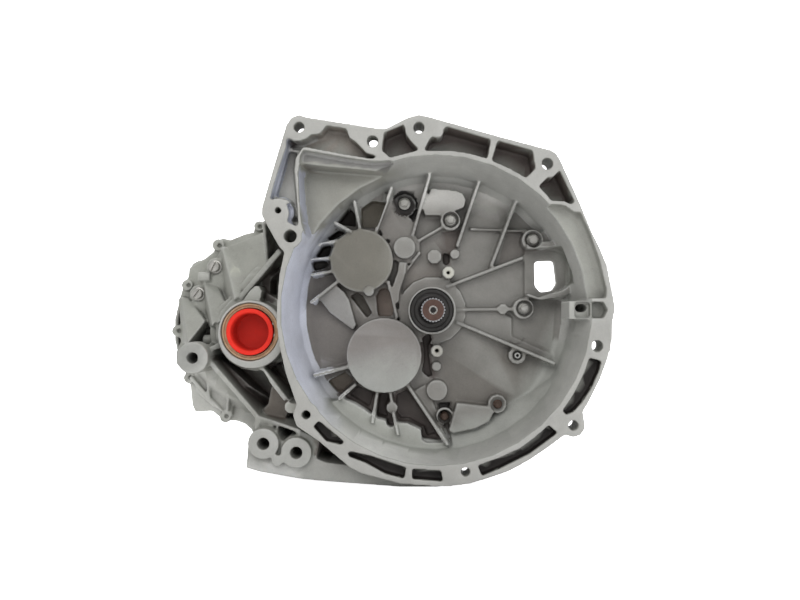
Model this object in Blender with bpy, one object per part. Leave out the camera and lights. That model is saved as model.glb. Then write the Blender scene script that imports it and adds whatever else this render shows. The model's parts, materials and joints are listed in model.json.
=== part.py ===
"""Six-speed transverse manual transmission (transaxle): clutch housing, gear case, three gear
shafts, differential, synchroniser sleeves with forks, and the selector.

Frame: +Y runs from the engine face into the gearbox, along the input shaft; +Z is up.
The origin is the centre of the input shaft's end, which is level with the engine face.
Lengths below are in millimetres and become metres when the objects are made.
"""
import math

import bmesh
import bpy
from mathutils import Matrix, Vector

for old in list(bpy.data.objects):
    bpy.data.objects.remove(old, do_unlink=True)

MM = 0.001
TAU = 2 * math.pi

# ---------------------------------------------------------------- driving dimensions
MODULE = 3.5                 # gear module
ADD, DED = 0.92, 1.22        # addendum and dedendum, in modules
BACKLASH = 0.42              # taken off each flank at the pitch circle
A_LOWER, A_UPPER = 70.0, 92.75          # input shaft to lower and upper output shaft
DIR_LOWER, DIR_UPPER = -136.96, 144.48  # and their directions, in degrees
Z_RING, Z_PINION_LOWER, Z_PINION_UPPER = 60, 21, 19
Z_IN = {"first": 10, "second": 14, "third_fifth": 21, "fourth_sixth": 23}
Z_LOWER = {"first": 30, "second": 26, "fifth": 19, "sixth": 17}
Z_UPPER = {"third": 32, "fourth": 30, "reverse": 25}
Z_IDLER = 18
PLANE = {                    # where each gear plane lies along Y
    "final": (122.0, 146.0),
    "first": (156.0, 174.0),
    "second": (208.0, 226.0),
    "third_fifth": (232.0, 250.0),
    "fourth_sixth": (284.0, 302.0),
}
SPLIT_Y = 110.0              # joint face between clutch housing and gear case
CASE_END_Y = 328.0           # joint face between gear case and end cover
BELL_WALL_Y = 72.0           # front of the clutch housing's back wall
CHAMBER_Y = 88.0             # front of the gear chamber inside the clutch housing
BELL_C = (2.8, -0.4)         # centre of the bell's round opening
BELL_R = 155.8
GAP = 0.35                   # clearance between neighbouring pieces
SLIDE = 8.5                  # travel of a synchroniser sleeve to each side

IN = (0.0, 0.0)
LO = (A_LOWER * math.cos(math.radians(DIR_LOWER)), A_LOWER * math.sin(math.radians(DIR_LOWER)))
UP = (A_UPPER * math.cos(math.radians(DIR_UPPER)), A_UPPER * math.sin(math.radians(DIR_UPPER)))


def circles_meet(a, ra, b, rb, side):
    """The point at ra from a and rb from b, on the given side of the line a to b."""
    d = math.dist(a, b)
    x = (ra * ra - rb * rb + d * d) / (2 * d)
    h = math.sqrt(ra * ra - x * x) * side
    ex, ez = (b[0] - a[0]) / d, (b[1] - a[1]) / d
    return (a[0] + x * ex - h * ez, a[1] + x * ez + h * ex)


def centre_distance(z1, z2):
    return MODULE * (z1 + z2) / 2


DI = circles_meet(UP, centre_distance(Z_RING, Z_PINION_UPPER), LO, centre_distance(Z_RING, Z_PINION_LOWER), -1)
RI = circles_meet(IN, centre_distance(Z_IN["first"], Z_IDLER), UP, centre_distance(Z_IDLER, Z_UPPER["reverse"]), -1)
ROD_UP = (-95.0, 121.0)      # upper fork rail
ROD_LO = (-99.0, -99.0)      # lower fork rail
SEL = (-113.0, 219.0)        # selector shaft, X and Y (it stands along Z)

# The clutch housing is laid out on one drawing sheet in central projection: the sheet is the
# engine face, its point (433.2, 310) is the input shaft axis, and its second coordinate runs
# downwards. Points deeper in the casting spread out from the centre of projection.
SHEET_AXIS = (433.2, 310.0)
EYE_X, EYE_Z, EYE_D = -18.0, -5.0, 620.0


def sh(sx, sy, y):
    """World (x, z) of sheet point (sx, sy) at depth y."""
    k = 1 + y / EYE_D
    return (EYE_X + (sx - SHEET_AXIS[0] - EYE_X) * k, EYE_Z + (SHEET_AXIS[1] - sy - EYE_Z) * k)


def shs(points, y):
    return [sh(a, b, y) for a, b in points]


# ---------------------------------------------------------------- solids as (vertices, faces)
def area(poly):
    return 0.5 * sum(a[0] * b[1] - b[0] * a[1] for a, b in zip(poly, poly[1:] + poly[:1]))


def ccw(poly):
    poly = list(poly)
    return poly if area(poly) > 0 else poly[::-1]


def loft(poly_a, poly_b, ya, yb):
    """A closed solid between two outlines in XZ with as many points each; ya and yb are one
    depth each, or one depth for every point."""
    if area(list(poly_a)) < 0:
        poly_a, poly_b = list(poly_a)[::-1], list(poly_b)[::-1]
        ya = ya[::-1] if isinstance(ya, list) else ya
        yb = yb[::-1] if isinstance(yb, list) else yb
    n = len(poly_a)
    ya = ya if isinstance(ya, list) else [ya] * n
    yb = yb if isinstance(yb, list) else [yb] * n
    verts = [(p[0], y, p[1]) for p, y in zip(poly_a, ya)] + [(p[0], y, p[1]) for p, y in zip(poly_b, yb)]
    flat_a, flat_b = len(set(ya)) == 1, len(set(yb)) == 1
    faces = []
    tris = cap_triangles(poly_a)
    tris_b = tris if not flat_b or not flat_a else cap_triangles(poly_b)
    faces += [(a, b, c) for a, b, c in tris]
    faces += [(n + c, n + b, n + a) for a, b, c in tris_b]
    for i in range(n):
        j = (i + 1) % n
        faces.append((i, n + i, n + j, j))
    return verts, faces


def cap_triangles(poly):
    """Ear clipping of a counter-clockwise outline."""
    idx = list(range(len(poly)))
    out = []

    def turn(a, b, c):
        return (b[0] - a[0]) * (c[1] - a[1]) - (b[1] - a[1]) * (c[0] - a[0])

    guard = 0
    while len(idx) > 3 and guard < 4000:
        guard += 1
        best = None
        for k in range(len(idx)):
            i, j, m = idx[k - 1], idx[k], idx[(k + 1) % len(idx)]
            a, b, c = poly[i], poly[j], poly[m]
            t = turn(a, b, c)
            if t <= 1e-9:
                continue
            if any(
                turn(a, b, poly[q]) >= -1e-9 and turn(b, c, poly[q]) >= -1e-9 and turn(c, a, poly[q]) >= -1e-9
                for q in idx
                if q not in (i, j, m)
            ):
                continue
            quality = t / (math.dist(a, b) ** 2 + math.dist(b, c) ** 2 + math.dist(c, a) ** 2)
            if best is None or quality > best[0]:
                best = (quality, k, (i, j, m))
        if best is None:
            break
        out.append(best[2])
        idx.pop(best[1])
    out.append(tuple(idx[:3]))
    return out


def prism(poly, y0, y1):
    return loft(ccw(poly), ccw(poly), y0, y1)


SAG = 0.75                   # how far a flat facet may lie inside the round it stands for


def segments(r):
    """Even number of facets that keeps a round of radius r within SAG."""
    return max(8, 2 * math.ceil(math.pi / math.acos(1 - min(SAG / r, 0.5)) / 2))


def circle(c, r, n=99, phase=0.5):
    n = min(n, segments(r))
    return [(c[0] + r * math.cos(TAU * (i + phase) / n), c[1] + r * math.sin(TAU * (i + phase) / n)) for i in range(n)]


def disc(c, r, y0, y1, n=24, r1=None):
    n = min(n, segments(max(r, r1 or 0)))
    turn = [(math.cos(TAU * (i + 0.5) / n), math.sin(TAU * (i + 0.5) / n)) for i in range(n)]
    r1 = r if r1 is None else r1
    return loft([(c[0] + r * a, c[1] + r * b) for a, b in turn], [(c[0] + r1 * a, c[1] + r1 * b) for a, b in turn], y0, y1)


def sdisc(sx, sy, rs, y0, y1, n=20, r1=None):
    """A disc whose front face is at depth y0, placed and sized on the sheet."""
    k = 1 + y0 / EYE_D
    return disc(sh(sx, sy, y0), rs * k, y0, y1, n, None if r1 is None else r1 * k)


def sprism(points, y0, y1):
    return prism(shs(points, y0), y0, y1)


def rib(a, b, t, ya, yb, y1, draft=0.6):
    """A straight rib between sheet points a and b; its crest is at depth ya at a and yb at b,
    its root at y1. It is t thick at the crest and a little thicker at the root."""
    (ax, az), (bx, bz) = sh(a[0], a[1], ya), sh(b[0], b[1], yb)
    d = math.hypot(bx - ax, bz - az)
    nx, nz = -(bz - az) / d, (bx - ax) / d
    h, g = t / 2, t / 2 + draft
    top = [(ax + nx * h, az + nz * h), (bx + nx * h, bz + nz * h), (bx - nx * h, bz - nz * h), (ax - nx * h, az - nz * h)]
    root = [(ax + nx * g, az + nz * g), (bx + nx * g, bz + nz * g), (bx - nx * g, bz - nz * g), (ax - nx * g, az - nz * g)]
    return loft(top[::-1], root[::-1], [ya, yb, yb, ya][::-1], [y1] * 4)


def hull(points):
    pts = sorted(set((round(x, 4), round(z, 4)) for x, z in points))

    def half(seq):
        out = []
        for p in seq:
            while len(out) > 1 and (out[-1][0] - out[-2][0]) * (p[1] - out[-2][1]) - (out[-1][1] - out[-2][1]) * (p[0] - out[-2][0]) <= 0:
                out.pop()
            out.append(p)
        return out

    lower, upper = half(pts), half(pts[::-1])
    return lower[:-1] + upper[:-1]


def circles_hull(circles, grow=0.0, n=None):
    out = []
    for c, r in circles:
        k = n or segments(r + grow)
        out += [(c[0] + (r + grow) * math.cos(TAU * (i + 0.5) / k), c[1] + (r + grow) * math.sin(TAU * (i + 0.5) / k)) for i in range(k)]
    return hull(out)


def turned(profile, c, n=32):
    """A turned ring: profile is a closed counter-clockwise list of (r, y) with every r > 0."""
    verts, faces = [], []
    m = len(profile)
    n = min(n, segments(max(r for r, _ in profile)))
    for i in range(n):
        a = TAU * (i + 0.5) / n
        verts += [(c[0] + r * math.cos(a), y, c[1] + r * math.sin(a)) for r, y in profile]
    for i in range(n):
        j = (i + 1) % n
        for k in range(m):
            q = (k + 1) % m
            faces.append((i * m + k, i * m + q, j * m + q, j * m + k))
    return verts, faces


def bore(c, r, y0, y1):
    """A cutter for a round hole whose facets all stay outside radius r."""
    n = segments(r)
    return disc(c, r / math.cos(math.pi / n), y0, y1, n)


def ring(c, r_in, r_out, y0, y1, n=28):
    r_in /= math.cos(math.pi / min(n, segments(r_out)))
    return turned([(r_in, y0), (r_out, y0), (r_out, y1), (r_in, y1)][::-1], c, n)


def top_of(poly, x, sign=1):
    """Height of an outline's upper (or, with sign -1, lower) edge at x."""
    best = None
    for (x1, z1), (x2, z2) in zip(poly, poly[1:] + poly[:1]):
        if min(x1, x2) <= x <= max(x1, x2) and x1 != x2:
            z = z1 + (z2 - z1) * (x - x1) / (x2 - x1)
            best = z if best is None or sign * z > sign * best else best
    return best


def box(x0, x1, y0, y1, z0, z1):
    return prism([(x0, z0), (x1, z0), (x1, z1), (x0, z1)], y0, y1)


def upright(cx, cy, r, z0, z1, n=20, r1=None):
    """A round bar standing along Z."""
    r1 = r if r1 is None else r1
    lo = [(cx + r * math.cos(TAU * i / n), cy + r * math.sin(TAU * i / n), z0) for i in range(n)]
    hi = [(cx + r1 * math.cos(TAU * i / n), cy + r1 * math.sin(TAU * i / n), z1) for i in range(n)]
    faces = [tuple(range(n))[::-1], tuple(range(n, 2 * n))]
    faces += [(i, (i + 1) % n, n + (i + 1) % n, n + i) for i in range(n)]
    return lo + hi, faces


# ---------------------------------------------------------------- gears
def tooth_profile(z, c=(0.0, 0.0), phase=0.0, module=MODULE, add=ADD, ded=DED, slack=BACKLASH):
    """Outline of a toothed wheel: two points at each tip and two at each root, on straight
    flanks that follow the involute at root, pitch and tip."""
    rp = module * z / 2
    ra, rf = rp + add * module, rp - ded * module
    alpha = math.radians(20)
    rb = rp * math.cos(alpha)

    def inv(r):
        if r <= rb:
            return 0.0
        p = math.acos(rb / r)
        return math.tan(p) - p

    half = (math.pi * module / 2 - 2 * slack) / 2 / rp + inv(rp)
    tip = max(half - inv(ra), 0.25 / ra)
    root = min(half - inv(rf) + (0.0 if rf > rb else 0.01), 0.46 * TAU / z)
    pts = []
    for i in range(z):
        a = phase + TAU * i / z
        for r, d in ((rf, -root), (ra, -tip), (ra, tip), (rf, root)):
            pts.append((c[0] + r * math.cos(a + d), c[1] + r * math.sin(a + d)))
    return pts


def turn_about(points, c, angle):
    s, k = math.sin(angle), math.cos(angle)
    return [(c[0] + (x - c[0]) * k - (z - c[1]) * s, c[1] + (x - c[0]) * s + (z - c[1]) * k) for x, z in points]


def annulus(base_a, pts_a, base_b, pts_b, c):
    """Triangles between an outer outline a and an inner outline b round c, facing so that the
    outer one runs counter-clockwise as seen."""
    ang_a = [math.atan2(p[1] - c[1], p[0] - c[0]) for p in pts_a]
    ang_b = [math.atan2(p[1] - c[1], p[0] - c[0]) for p in pts_b]
    na, nb = len(pts_a), len(pts_b)
    ia = min(range(na), key=lambda i: ang_a[i])
    ib = min(range(nb), key=lambda i: ang_b[i])
    out, ka, kb = [], 0, 0

    def unwrapped(ang, start, k, n):
        return ang[(start + k) % n] + TAU * ((start + k) // n - start // n) if k < n else ang[start] + TAU

    ua = [ang_a[(ia + k) % na] for k in range(na)] + [ang_a[ia] + TAU]
    ub = [ang_b[(ib + k) % nb] for k in range(nb)] + [ang_b[ib] + TAU]
    while ka < na or kb < nb:
        a0, b0 = (ia + ka) % na, (ib + kb) % nb
        if kb >= nb or (ka < na and ua[ka + 1] <= ub[kb + 1]):
            out.append((base_a + a0, base_a + (ia + ka + 1) % na, base_b + b0))
            ka += 1
        else:
            out.append((base_a + a0, base_b + (ib + kb + 1) % nb, base_b + b0))
            kb += 1
    return out


def stack(c, sections, bore=0.0, bore_n=20, bore_phase=0.5):
    """A turned or toothed piece built from sections along Y: (outline, y0, y1, twist). Each
    outline goes round c; the bore, if any, runs right through."""
    verts, faces = [], []

    def put(points, y):
        base = len(verts)
        verts.extend((x, y, z) for x, z in points)
        return base

    rings = []
    for outline, y0, y1, twist in sections:
        outline = ccw(outline)
        end = turn_about(outline, c, twist)
        a, b = put(outline, y0), put(end, y1)
        n = len(outline)
        for i in range(n):
            j = (i + 1) % n
            # the diagonal runs so that a twisted flank stays hollow and never bulges
            if twist > 0:
                faces += [(a + i, b + i, a + j), (a + j, b + i, b + j)]
            else:
                faces += [(a + i, b + j, a + j), (a + i, b + i, b + j)]
        rings.append(((a, outline), (b, end)))
    if bore:
        k = min(bore_n, segments(bore))
        hole = circle(c, bore / math.cos(math.pi / k), k, bore_phase)
        h0, h1 = put(hole, sections[0][1]), put(hole, sections[-1][2])
        n = len(hole)
        faces += [(h0 + i, h0 + (i + 1) % n, h1 + (i + 1) % n, h1 + i) for i in range(n)]
        faces += annulus(rings[0][0][0], rings[0][0][1], h0, hole, c)
        faces += [f[::-1] for f in annulus(rings[-1][1][0], rings[-1][1][1], h1, hole, c)]
    else:
        for (base, outline), flip in ((rings[0][0], False), (rings[-1][1], True)):
            mid = put([c], sections[0][1] if not flip else sections[-1][2])
            n = len(outline)
            for i in range(n):
                f = (base + i, base + (i + 1) % n, mid)
                faces.append(f[::-1] if flip else f)
    for (_, (b, out_b)), ((a, out_a), _) in zip(rings, rings[1:]):
        rb = max(math.dist(p, c) for p in out_b)
        ra = max(math.dist(p, c) for p in out_a)
        if rb > ra:      # step down: the larger section's end face looks along +Y
            faces += [f[::-1] for f in annulus(b, out_b, a, out_a, c)]
        else:            # step up: the next section's front face looks along -Y
            faces += annulus(a, out_a, b, out_b, c)
    return verts, faces


def mate(c_a, phase_a, z_a, c_b, z_b):
    """Phase of wheel b so that it meshes with wheel a."""
    th = math.atan2(c_b[1] - c_a[1], c_b[0] - c_a[0])
    return th + math.pi + (math.pi - (phase_a - th) * z_a) / z_b


# ---------------------------------------------------------------- Blender objects
MATERIALS = {}


def material(name, rgb, rough, metal):
    if name not in MATERIALS:
        m = bpy.data.materials.new(name)
        m.use_nodes = True
        p = m.node_tree.nodes["Principled BSDF"]
        p.inputs["Base Color"].default_value = (*rgb, 1)
        p.inputs["Roughness"].default_value = rough
        p.inputs["Metallic"].default_value = metal
        MATERIALS[name] = m
    return MATERIALS[name]


CAST = ("cast_aluminium", (0.42, 0.42, 0.40), 0.62, 0.55)
STEEL = ("gear_steel", (0.33, 0.33, 0.34), 0.35, 0.95)
BEARING = ("bearing_steel", (0.55, 0.56, 0.58), 0.22, 1.0)
BOLT = ("bolt_steel", (0.36, 0.35, 0.33), 0.42, 0.9)
RUBBER = ("seal_rubber", (0.02, 0.019, 0.018), 0.6, 0.0)
SEAL = ("seal_brown", (0.30, 0.19, 0.11), 0.5, 0.1)
PLASTIC = ("red_plastic", (0.72, 0.03, 0.02), 0.4, 0.0)
BRONZE = ("fork_alloy", (0.40, 0.33, 0.22), 0.45, 0.85)


def volume(verts, faces):
    """Signed volume under a closed skin; it is negative when the faces look inwards."""
    total = 0.0
    for f in faces:
        a = Vector(verts[f[0]])
        for p, q in zip(f[1:], f[2:]):
            total += a.dot(Vector(verts[p]).cross(Vector(verts[q])))
    return total / 6


def mesh_of(name, solid):
    verts, faces = solid
    if volume(verts, faces) < 0:
        faces = [tuple(f)[::-1] for f in faces]
    me = bpy.data.meshes.new(name)
    me.from_pydata([(x * MM, y * MM, z * MM) for x, y, z in verts], [], [tuple(f) for f in faces])
    me.validate()
    me.update()
    return me


def boolean(obj, solids, operation):
    """Joins solids to obj, or cuts them from it, one after another."""
    for solid in solids:
        tool = bpy.data.objects.new("tool", mesh_of("tool", solid))
        bpy.context.scene.collection.objects.link(tool)
        mod = obj.modifiers.new("step", "BOOLEAN")
        mod.operation = operation
        mod.solver = "MANIFOLD"
        mod.object = tool
        graph = bpy.context.evaluated_depsgraph_get()
        made = bpy.data.meshes.new_from_object(obj.evaluated_get(graph))
        obj.modifiers.clear()
        old = obj.data
        obj.data = made
        bpy.data.meshes.remove(old)
        left = tool.data
        bpy.data.objects.remove(tool)
        bpy.data.meshes.remove(left)


def add_object(name, solid, mat, origin=None):
    obj = bpy.data.objects.new(name, mesh_of(name, solid))
    bpy.context.scene.collection.objects.link(obj)
    obj.data.materials.append(material(*mat))
    if origin:
        set_origin(obj, origin)
    return obj


def set_origin(obj, origin):
    """Puts the object's origin on its joint axis without moving the piece."""
    o = Vector(origin) * MM
    obj.data.transform(Matrix.Translation(-o))
    obj.location = o


def tidy(obj):
    """Joins coplanar facets, and keeps the result only while the skin stays closed."""
    for degrees in (0.3, 0.1, 0.02):
        bm = bmesh.new()
        bm.from_mesh(obj.data)
        bmesh.ops.dissolve_limit(bm, angle_limit=math.radians(degrees), verts=bm.verts, edges=bm.edges)
        bmesh.ops.triangulate(bm, faces=bm.faces)
        for _ in range(6):
            bad = [e for e in bm.edges if len(e.link_faces) == 4]
            for edge in bad:
                part_shared_diagonal(bm, edge)
        good = all(len(e.link_faces) == 2 for e in bm.edges) and bm.calc_volume(signed=True) > 0
        if good:
            bm.to_mesh(obj.data)
        bm.free()
        if good:
            return


def part_shared_diagonal(bm, edge):
    """Two pairs of flat facets use the same two corners as their diagonal: one pair gets a
    corner of its own halfway along it."""
    v1, v2 = edge.verts
    for f in edge.link_faces:
        order = [loop.vert for loop in f.loops]
        if order[(order.index(v1) + 1) % 3] is not v2:
            continue
        flat = [g for g in edge.link_faces if g is not f and [w.vert for w in g.loops][([w.vert for w in g.loops].index(v2) + 1) % 3] is v1]
        g = max(flat, key=lambda other: f.normal.dot(other.normal))
        a = next(v for v in f.verts if v not in (v1, v2))
        b = next(v for v in g.verts if v not in (v1, v2))
        mid = bm.verts.new((v1.co + v2.co) / 2)
        bmesh.ops.delete(bm, geom=[f, g], context="FACES_ONLY")
        for corners in ((v1, mid, a), (mid, v2, a), (v2, mid, b), (mid, v1, b)):
            bm.faces.new(corners)
        bm.normal_update()
        return


def finish(obj, mat, angle=35):
    obj.data.materials.clear()
    obj.data.materials.append(material(*mat))
    obj.data.shade_smooth()
    obj.data.set_sharp_from_angle(angle=math.radians(angle))
    return obj


def casting(name, base, joins, cuts, after=(), cuts_after=()):
    """A cast piece: base joined with joins, then cut, then joined and cut again."""
    obj = bpy.data.objects.new(name, mesh_of(name, base))
    bpy.context.scene.collection.objects.link(obj)
    boolean(obj, joins, "UNION")
    boolean(obj, cuts, "DIFFERENCE")
    boolean(obj, after, "UNION")
    boolean(obj, cuts_after, "DIFFERENCE")
    return finish(obj, CAST)


def bolt(name, c, y, seat_r, head_r, head_h, thread_r, length, socket=True):
    """A hexagon bolt along Y with its flange seated at depth y; the head looks along -Y."""
    verts, faces = stack(c, [
        (circle(c, head_r, 6, 0.0), y - head_h, y - 1.6, 0.0),
        (circle(c, seat_r, 18), y - 1.6, y, 0.0),
        (circle(c, thread_r, 12), y, y + length, 0.0),
    ])
    obj = add_object(name, (verts, faces), BOLT)
    return finish(obj, BOLT, 30)


# ================================================================ the layout of the castings
RING_R = MODULE * Z_RING / 2 + ADD * MODULE
CASE_CIRCLES = [
    (DI, RING_R + 2.0), (UP, 64.0), (LO, 60.0), (ROD_UP, 13.0), (ROD_LO, 13.0), (IN, 47.0), (RI, 38.0),
]
WALL = 4.5
CASE_OUT = circles_hull(CASE_CIRCLES, WALL)
CASE_IN = circles_hull(CASE_CIRCLES)
FRONT_CIRCLES = [(DI, 62.0)] + CASE_CIRCLES[1:]
FRONT_OUT = circles_hull(FRONT_CIRCLES, WALL)
FRONT_IN = circles_hull(FRONT_CIRCLES)
REAR_CIRCLES = [(UP, 64.0), (LO, 60.0), (ROD_UP, 13.0), (ROD_LO, 13.0), (IN, 47.0), (RI, 38.0)]
REAR_OUT = circles_hull(REAR_CIRCLES, WALL)
REAR_IN = circles_hull(REAR_CIRCLES)

# Flange of the engine face, going round its outline on the sheet.
FLANGE = [
    (286, 125), (291, 117.5), (298, 115.3), (310, 117.5), (380, 128.5), (386, 128.5), (403, 119.5), (412, 116),
    (419, 114.5), (427, 116), (500, 136.5), (551, 150), (556, 153), (560, 159), (580, 203), (592, 232), (600, 248),
    (607, 265), (612, 290), (615.5, 308), (613, 320), (612, 340), (608, 358), (600, 380), (590, 400), (583, 412),
    (585, 424), (582, 433), (575, 437.5), (565, 435), (549, 447), (530, 460), (510, 471), (490, 478), (470, 484),
    (450, 486.5), (433, 486.5), (400, 484), (385, 480), (362, 474), (350, 468), (318, 441), (296, 426), (293, 415),
    (296, 404), (285, 372), (279, 345), (276, 320), (277, 300), (279, 275), (284, 252), (279, 247), (265, 222),
    (261.5, 215), (262, 206), (274, 165),
]
BASE_FOOT = [  # lower edge of the casting under the bell
    (246, 468), (260, 472), (300, 479), (320, 481), (360, 484), (400, 487), (440, 487), (440, 470), (350, 455), (300, 430), (258, 430), (248, 445),
]
LEFT_FLANGE = [  # joint flange round the differential, seen at the split depth
    (263, 230), (245, 234), (230, 240), (222, 238), (213, 252), (204, 259), (197, 262), (189, 268), (188, 277),
    (183, 286), (180, 297), (181, 325), (173, 331), (181, 340), (176, 352), (176, 364), (187, 374), (186, 380),
    (190, 384), (192, 405), (195, 412), (212, 411), (223, 420), (237, 421), (245, 424), (256, 434), (330, 440), (420, 400), (420, 260), (330, 225),
]
HOLES = {  # through holes of the engine flange: sheet point, radius, depth of the boss
    "a": (299, 127, 5.5, 24), "b": (372.5, 141, 6.0, 19), "c": (419, 127.5, 5.8, 19), "d": (547.5, 163.5, 6.0, 16),
    "e": (597.5, 346, 6.0, 26), "f": (573.5, 425.5, 5.2, 26), "g": (465.5, 472, 4.7, 26),
}
BOSS_R = {"a": 12.5, "b": 12.0, "c": 13.0, "d": 12.0, "e": 14.0, "f": 12.0, "g": 11.5}
SLOTS = [
    [(313, 427), (318.5, 421), (344, 442), (341, 445), (326, 441.5)],
    [(347, 453), (351, 452), (370, 456), (385, 461), (406, 468), (404, 479), (385, 474), (365, 463), (349, 457)],
    [(412, 469), (441, 471.5), (443, 482), (412, 479.5)],
    [(478, 466), (500, 458), (520, 449), (535, 438), (549, 425.5), (558, 433), (545, 443), (530, 454), (500, 469), (482, 476.5)],
    [(563, 411), (572, 398), (580, 383), (586, 370), (590, 358), (602, 361), (600, 370), (592, 388), (583, 402), (574, 412), (567, 415)],
    [(570, 301), (604, 302), (608, 310), (604, 318), (571, 318)],
]
POCKETS = [
    [(384, 132), (404, 124), (406, 134), (412, 142), (418, 148), (417, 150), (390, 157), (382, 150)],
    [(447, 126), (491, 139), (487.5, 158), (470, 153), (450, 150), (424, 150), (430, 138)],
    [(498, 140), (533, 150), (534, 158), (536, 168), (529, 175), (526, 177), (510, 168), (492, 160)],
    [(560, 170), (575, 201), (572, 204), (565, 201), (552, 200), (539.5, 186), (541, 184), (548, 177), (553, 177)],
]
DISH = [(300, 161), (345, 166), (372, 169), (392, 171), (390, 181), (352, 198), (322, 232), (305, 236), (301, 222), (299, 198), (298, 172)]
STRIP = [(552, 204), (565, 205), (575, 212), (581, 212), (590, 232), (600, 260), (607, 290), (606, 298), (593, 296), (586, 268), (575, 240), (562, 220)]
WINDOW = [(534, 263), (536, 261.5), (551, 261), (553, 263), (555.5, 284), (551, 291), (540, 292.5), (534.5, 286)]
WINDOW_RECESS = [(527, 248), (560, 245), (576, 252), (577, 281), (566, 290), (541, 297), (527, 292)]

RECESS = [  # shallow floor between the upper left bosses and the ledge over the dish
    (287, 140), (293, 140.5), (301, 140), (307, 137.5), (311, 134), (317, 133.5), (321, 132), (326, 125), (346, 128),
    (349, 137), (355, 141), (361, 147), (366, 152.5), (374, 155), (384, 158), (370, 158), (340, 153), (303, 146), (290, 146),
]
CHANNEL = [(288, 149), (301, 151), (296, 158), (294.5, 170), (297, 200), (298.5, 224), (290, 224), (279, 214), (270, 205), (270, 198)]
CAVITIES = [  # deep hollows between the ribs outside the bell: outline at the given depth, and the depth
    ([(209, 351), (219, 348.5), (226, 354), (236, 364), (250, 370), (262, 371.5), (271, 386), (275, 392), (270, 400), (268, 411), (262, 408), (250, 397), (209, 359)], 24.0),
    ([(262, 365), (272, 362), (281, 362), (286, 374), (296, 396), (300, 402), (294, 401), (288, 396)], 24.0),
    ([(282, 252), (279, 259), (276.5, 277), (275, 300), (273, 304), (266, 300), (262, 297), (262, 279)], 20.0),
    ([(275, 428), (292, 432), (298, 436), (288, 437.5), (281, 443), (277, 436)], 16.0),
]
OPENINGS = [  # deep gaps between the ribs of the back wall, seen at the wall's depth
    [(337, 224), (350, 208), (355, 214), (356, 227)], [(325, 240), (338, 231), (347, 232), (333, 240)],
    [(315, 258), (322, 247), (332, 245), (329, 256)], [(312, 262), (326, 261), (329, 264), (325, 268), (314, 271)],
    [(361, 209), (372, 201), (388, 203), (378, 228), (362, 228)], [(350, 296), (357, 292), (363, 296), (372, 313), (367, 318)],
    [(376, 296), (380, 289), (386, 288), (390, 292), (394, 310), (392, 316), (378, 316)],
    [(328, 381), (345, 372), (354, 380), (342, 392), (336, 391)],
]

CORNER = [(289, 131), (300, 120), (345, 128), (395, 150), (350, 205), (300, 250), (284, 248), (270, 222), (268, 200)]
TOP_BACK = [(380, 130), (412, 120), (425, 121), (500, 142), (548, 154), (556, 160), (578, 206), (560, 214), (530, 190), (480, 165), (420, 158), (380, 165)]
SPLIT_OUTLINE = shs(LEFT_FLANGE, 99.0)
LUGS = [(218, 245, 6.5), (187, 285, 6.0), (179, 331, 6.5), (189, 378, 6.0), (225, 416, 6.0), (257, 230, 5.5), (198, 270, 10.5)]

# ---------------------------------------------------------------- clutch housing
PORT_R = 30.0                # radius of the seal seat at the drive shaft port
BELL_BACK_R = 147.5
flange = sprism(FLANGE, 0.0, 15.0)
joins = [
    disc(BELL_C, 162.0, 10.0, 84.0, 48, 153.5),
    prism(FRONT_OUT, 80.0, SPLIT_Y),
    prism(SPLIT_OUTLINE, 99.0, SPLIT_Y),
    sprism(CORNER, 6.0, 66.0),
    sprism(TOP_BACK, 12.0, 31.0),
    sprism(BASE_FOOT, 22.0, 100.0),
]
for k, (sx, sy, r, depth) in HOLES.items():
    joins.append(sdisc(sx, sy, BOSS_R[k], 0.0, depth, 14))
joins += [
    sdisc(306, 415, 13, 0.0, 30, 18), sdisc(277.5, 210, 16, 0.0, 32, 18), sdisc(290, 236, 12.5, 0.0, 30, 18),
    sdisc(291, 407, 7, 8.0, 48, 14),
    # differential bore and the mount bosses on the left
    sdisc(251.5, 334.5, 34, 26.0, 92, 28), disc(DI, 62.0, 56.0, 99.0, 30, 97.0),
    disc(sh(262, 292, 99), 26.0, 60.0, 99.0, 24, 69.0),
    sprism([(243, 300), (250, 290), (255, 286), (259, 286), (262, 291), (260, 301)], 30.0, 62.0),
    sprism([(258, 362), (266, 352), (276, 343), (279.5, 345), (283, 360.5)], 58.0, 92.0),
    sdisc(192, 358, 16, 20.0, 100, 14, 18), sdisc(263, 444, 15.5, 16.0, 96, 14, 17), sdisc(296, 453, 15.5, 16.0, 96, 14, 17),
    sdisc(277, 461, 6, 16.0, 90, 12),
    sdisc(215.5, 267, 9.5, 84, 104, 14), sdisc(198.5, 294, 9.5, 84, 104, 14),
]
cuts = [
    disc(BELL_C, BELL_R, -1.0, BELL_WALL_Y, 60, BELL_BACK_R),
    prism(FRONT_IN, CHAMBER_Y, SPLIT_Y + 1.0),
]
ribs = [  # sheet ends, thickness, crest depths at each end, root depth
    ((280, 250), (240, 298), 6, 30, 46, 100), ((220, 345), (206, 352), 6, 40, 30, 100), ((205, 357), (258, 418), 5, 28, 36, 100),
    ((258, 418), (300, 432), 5, 36, 20, 100), ((258, 364), (286, 400), 5, 30, 24, 100), ((258, 418), (256, 436), 5, 36, 24, 100),
    ((222, 247), (237, 298), 5, 84, 48, 100), ((203, 282), (219, 322), 5, 84, 44, 100), ((181, 297), (188, 348), 4, 92, 40, 100),
    ((263, 221), (267, 263), 3.6, 6, 46, 100), ((190, 377), (212, 402), 4, 86, 90, 104),
]
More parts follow.
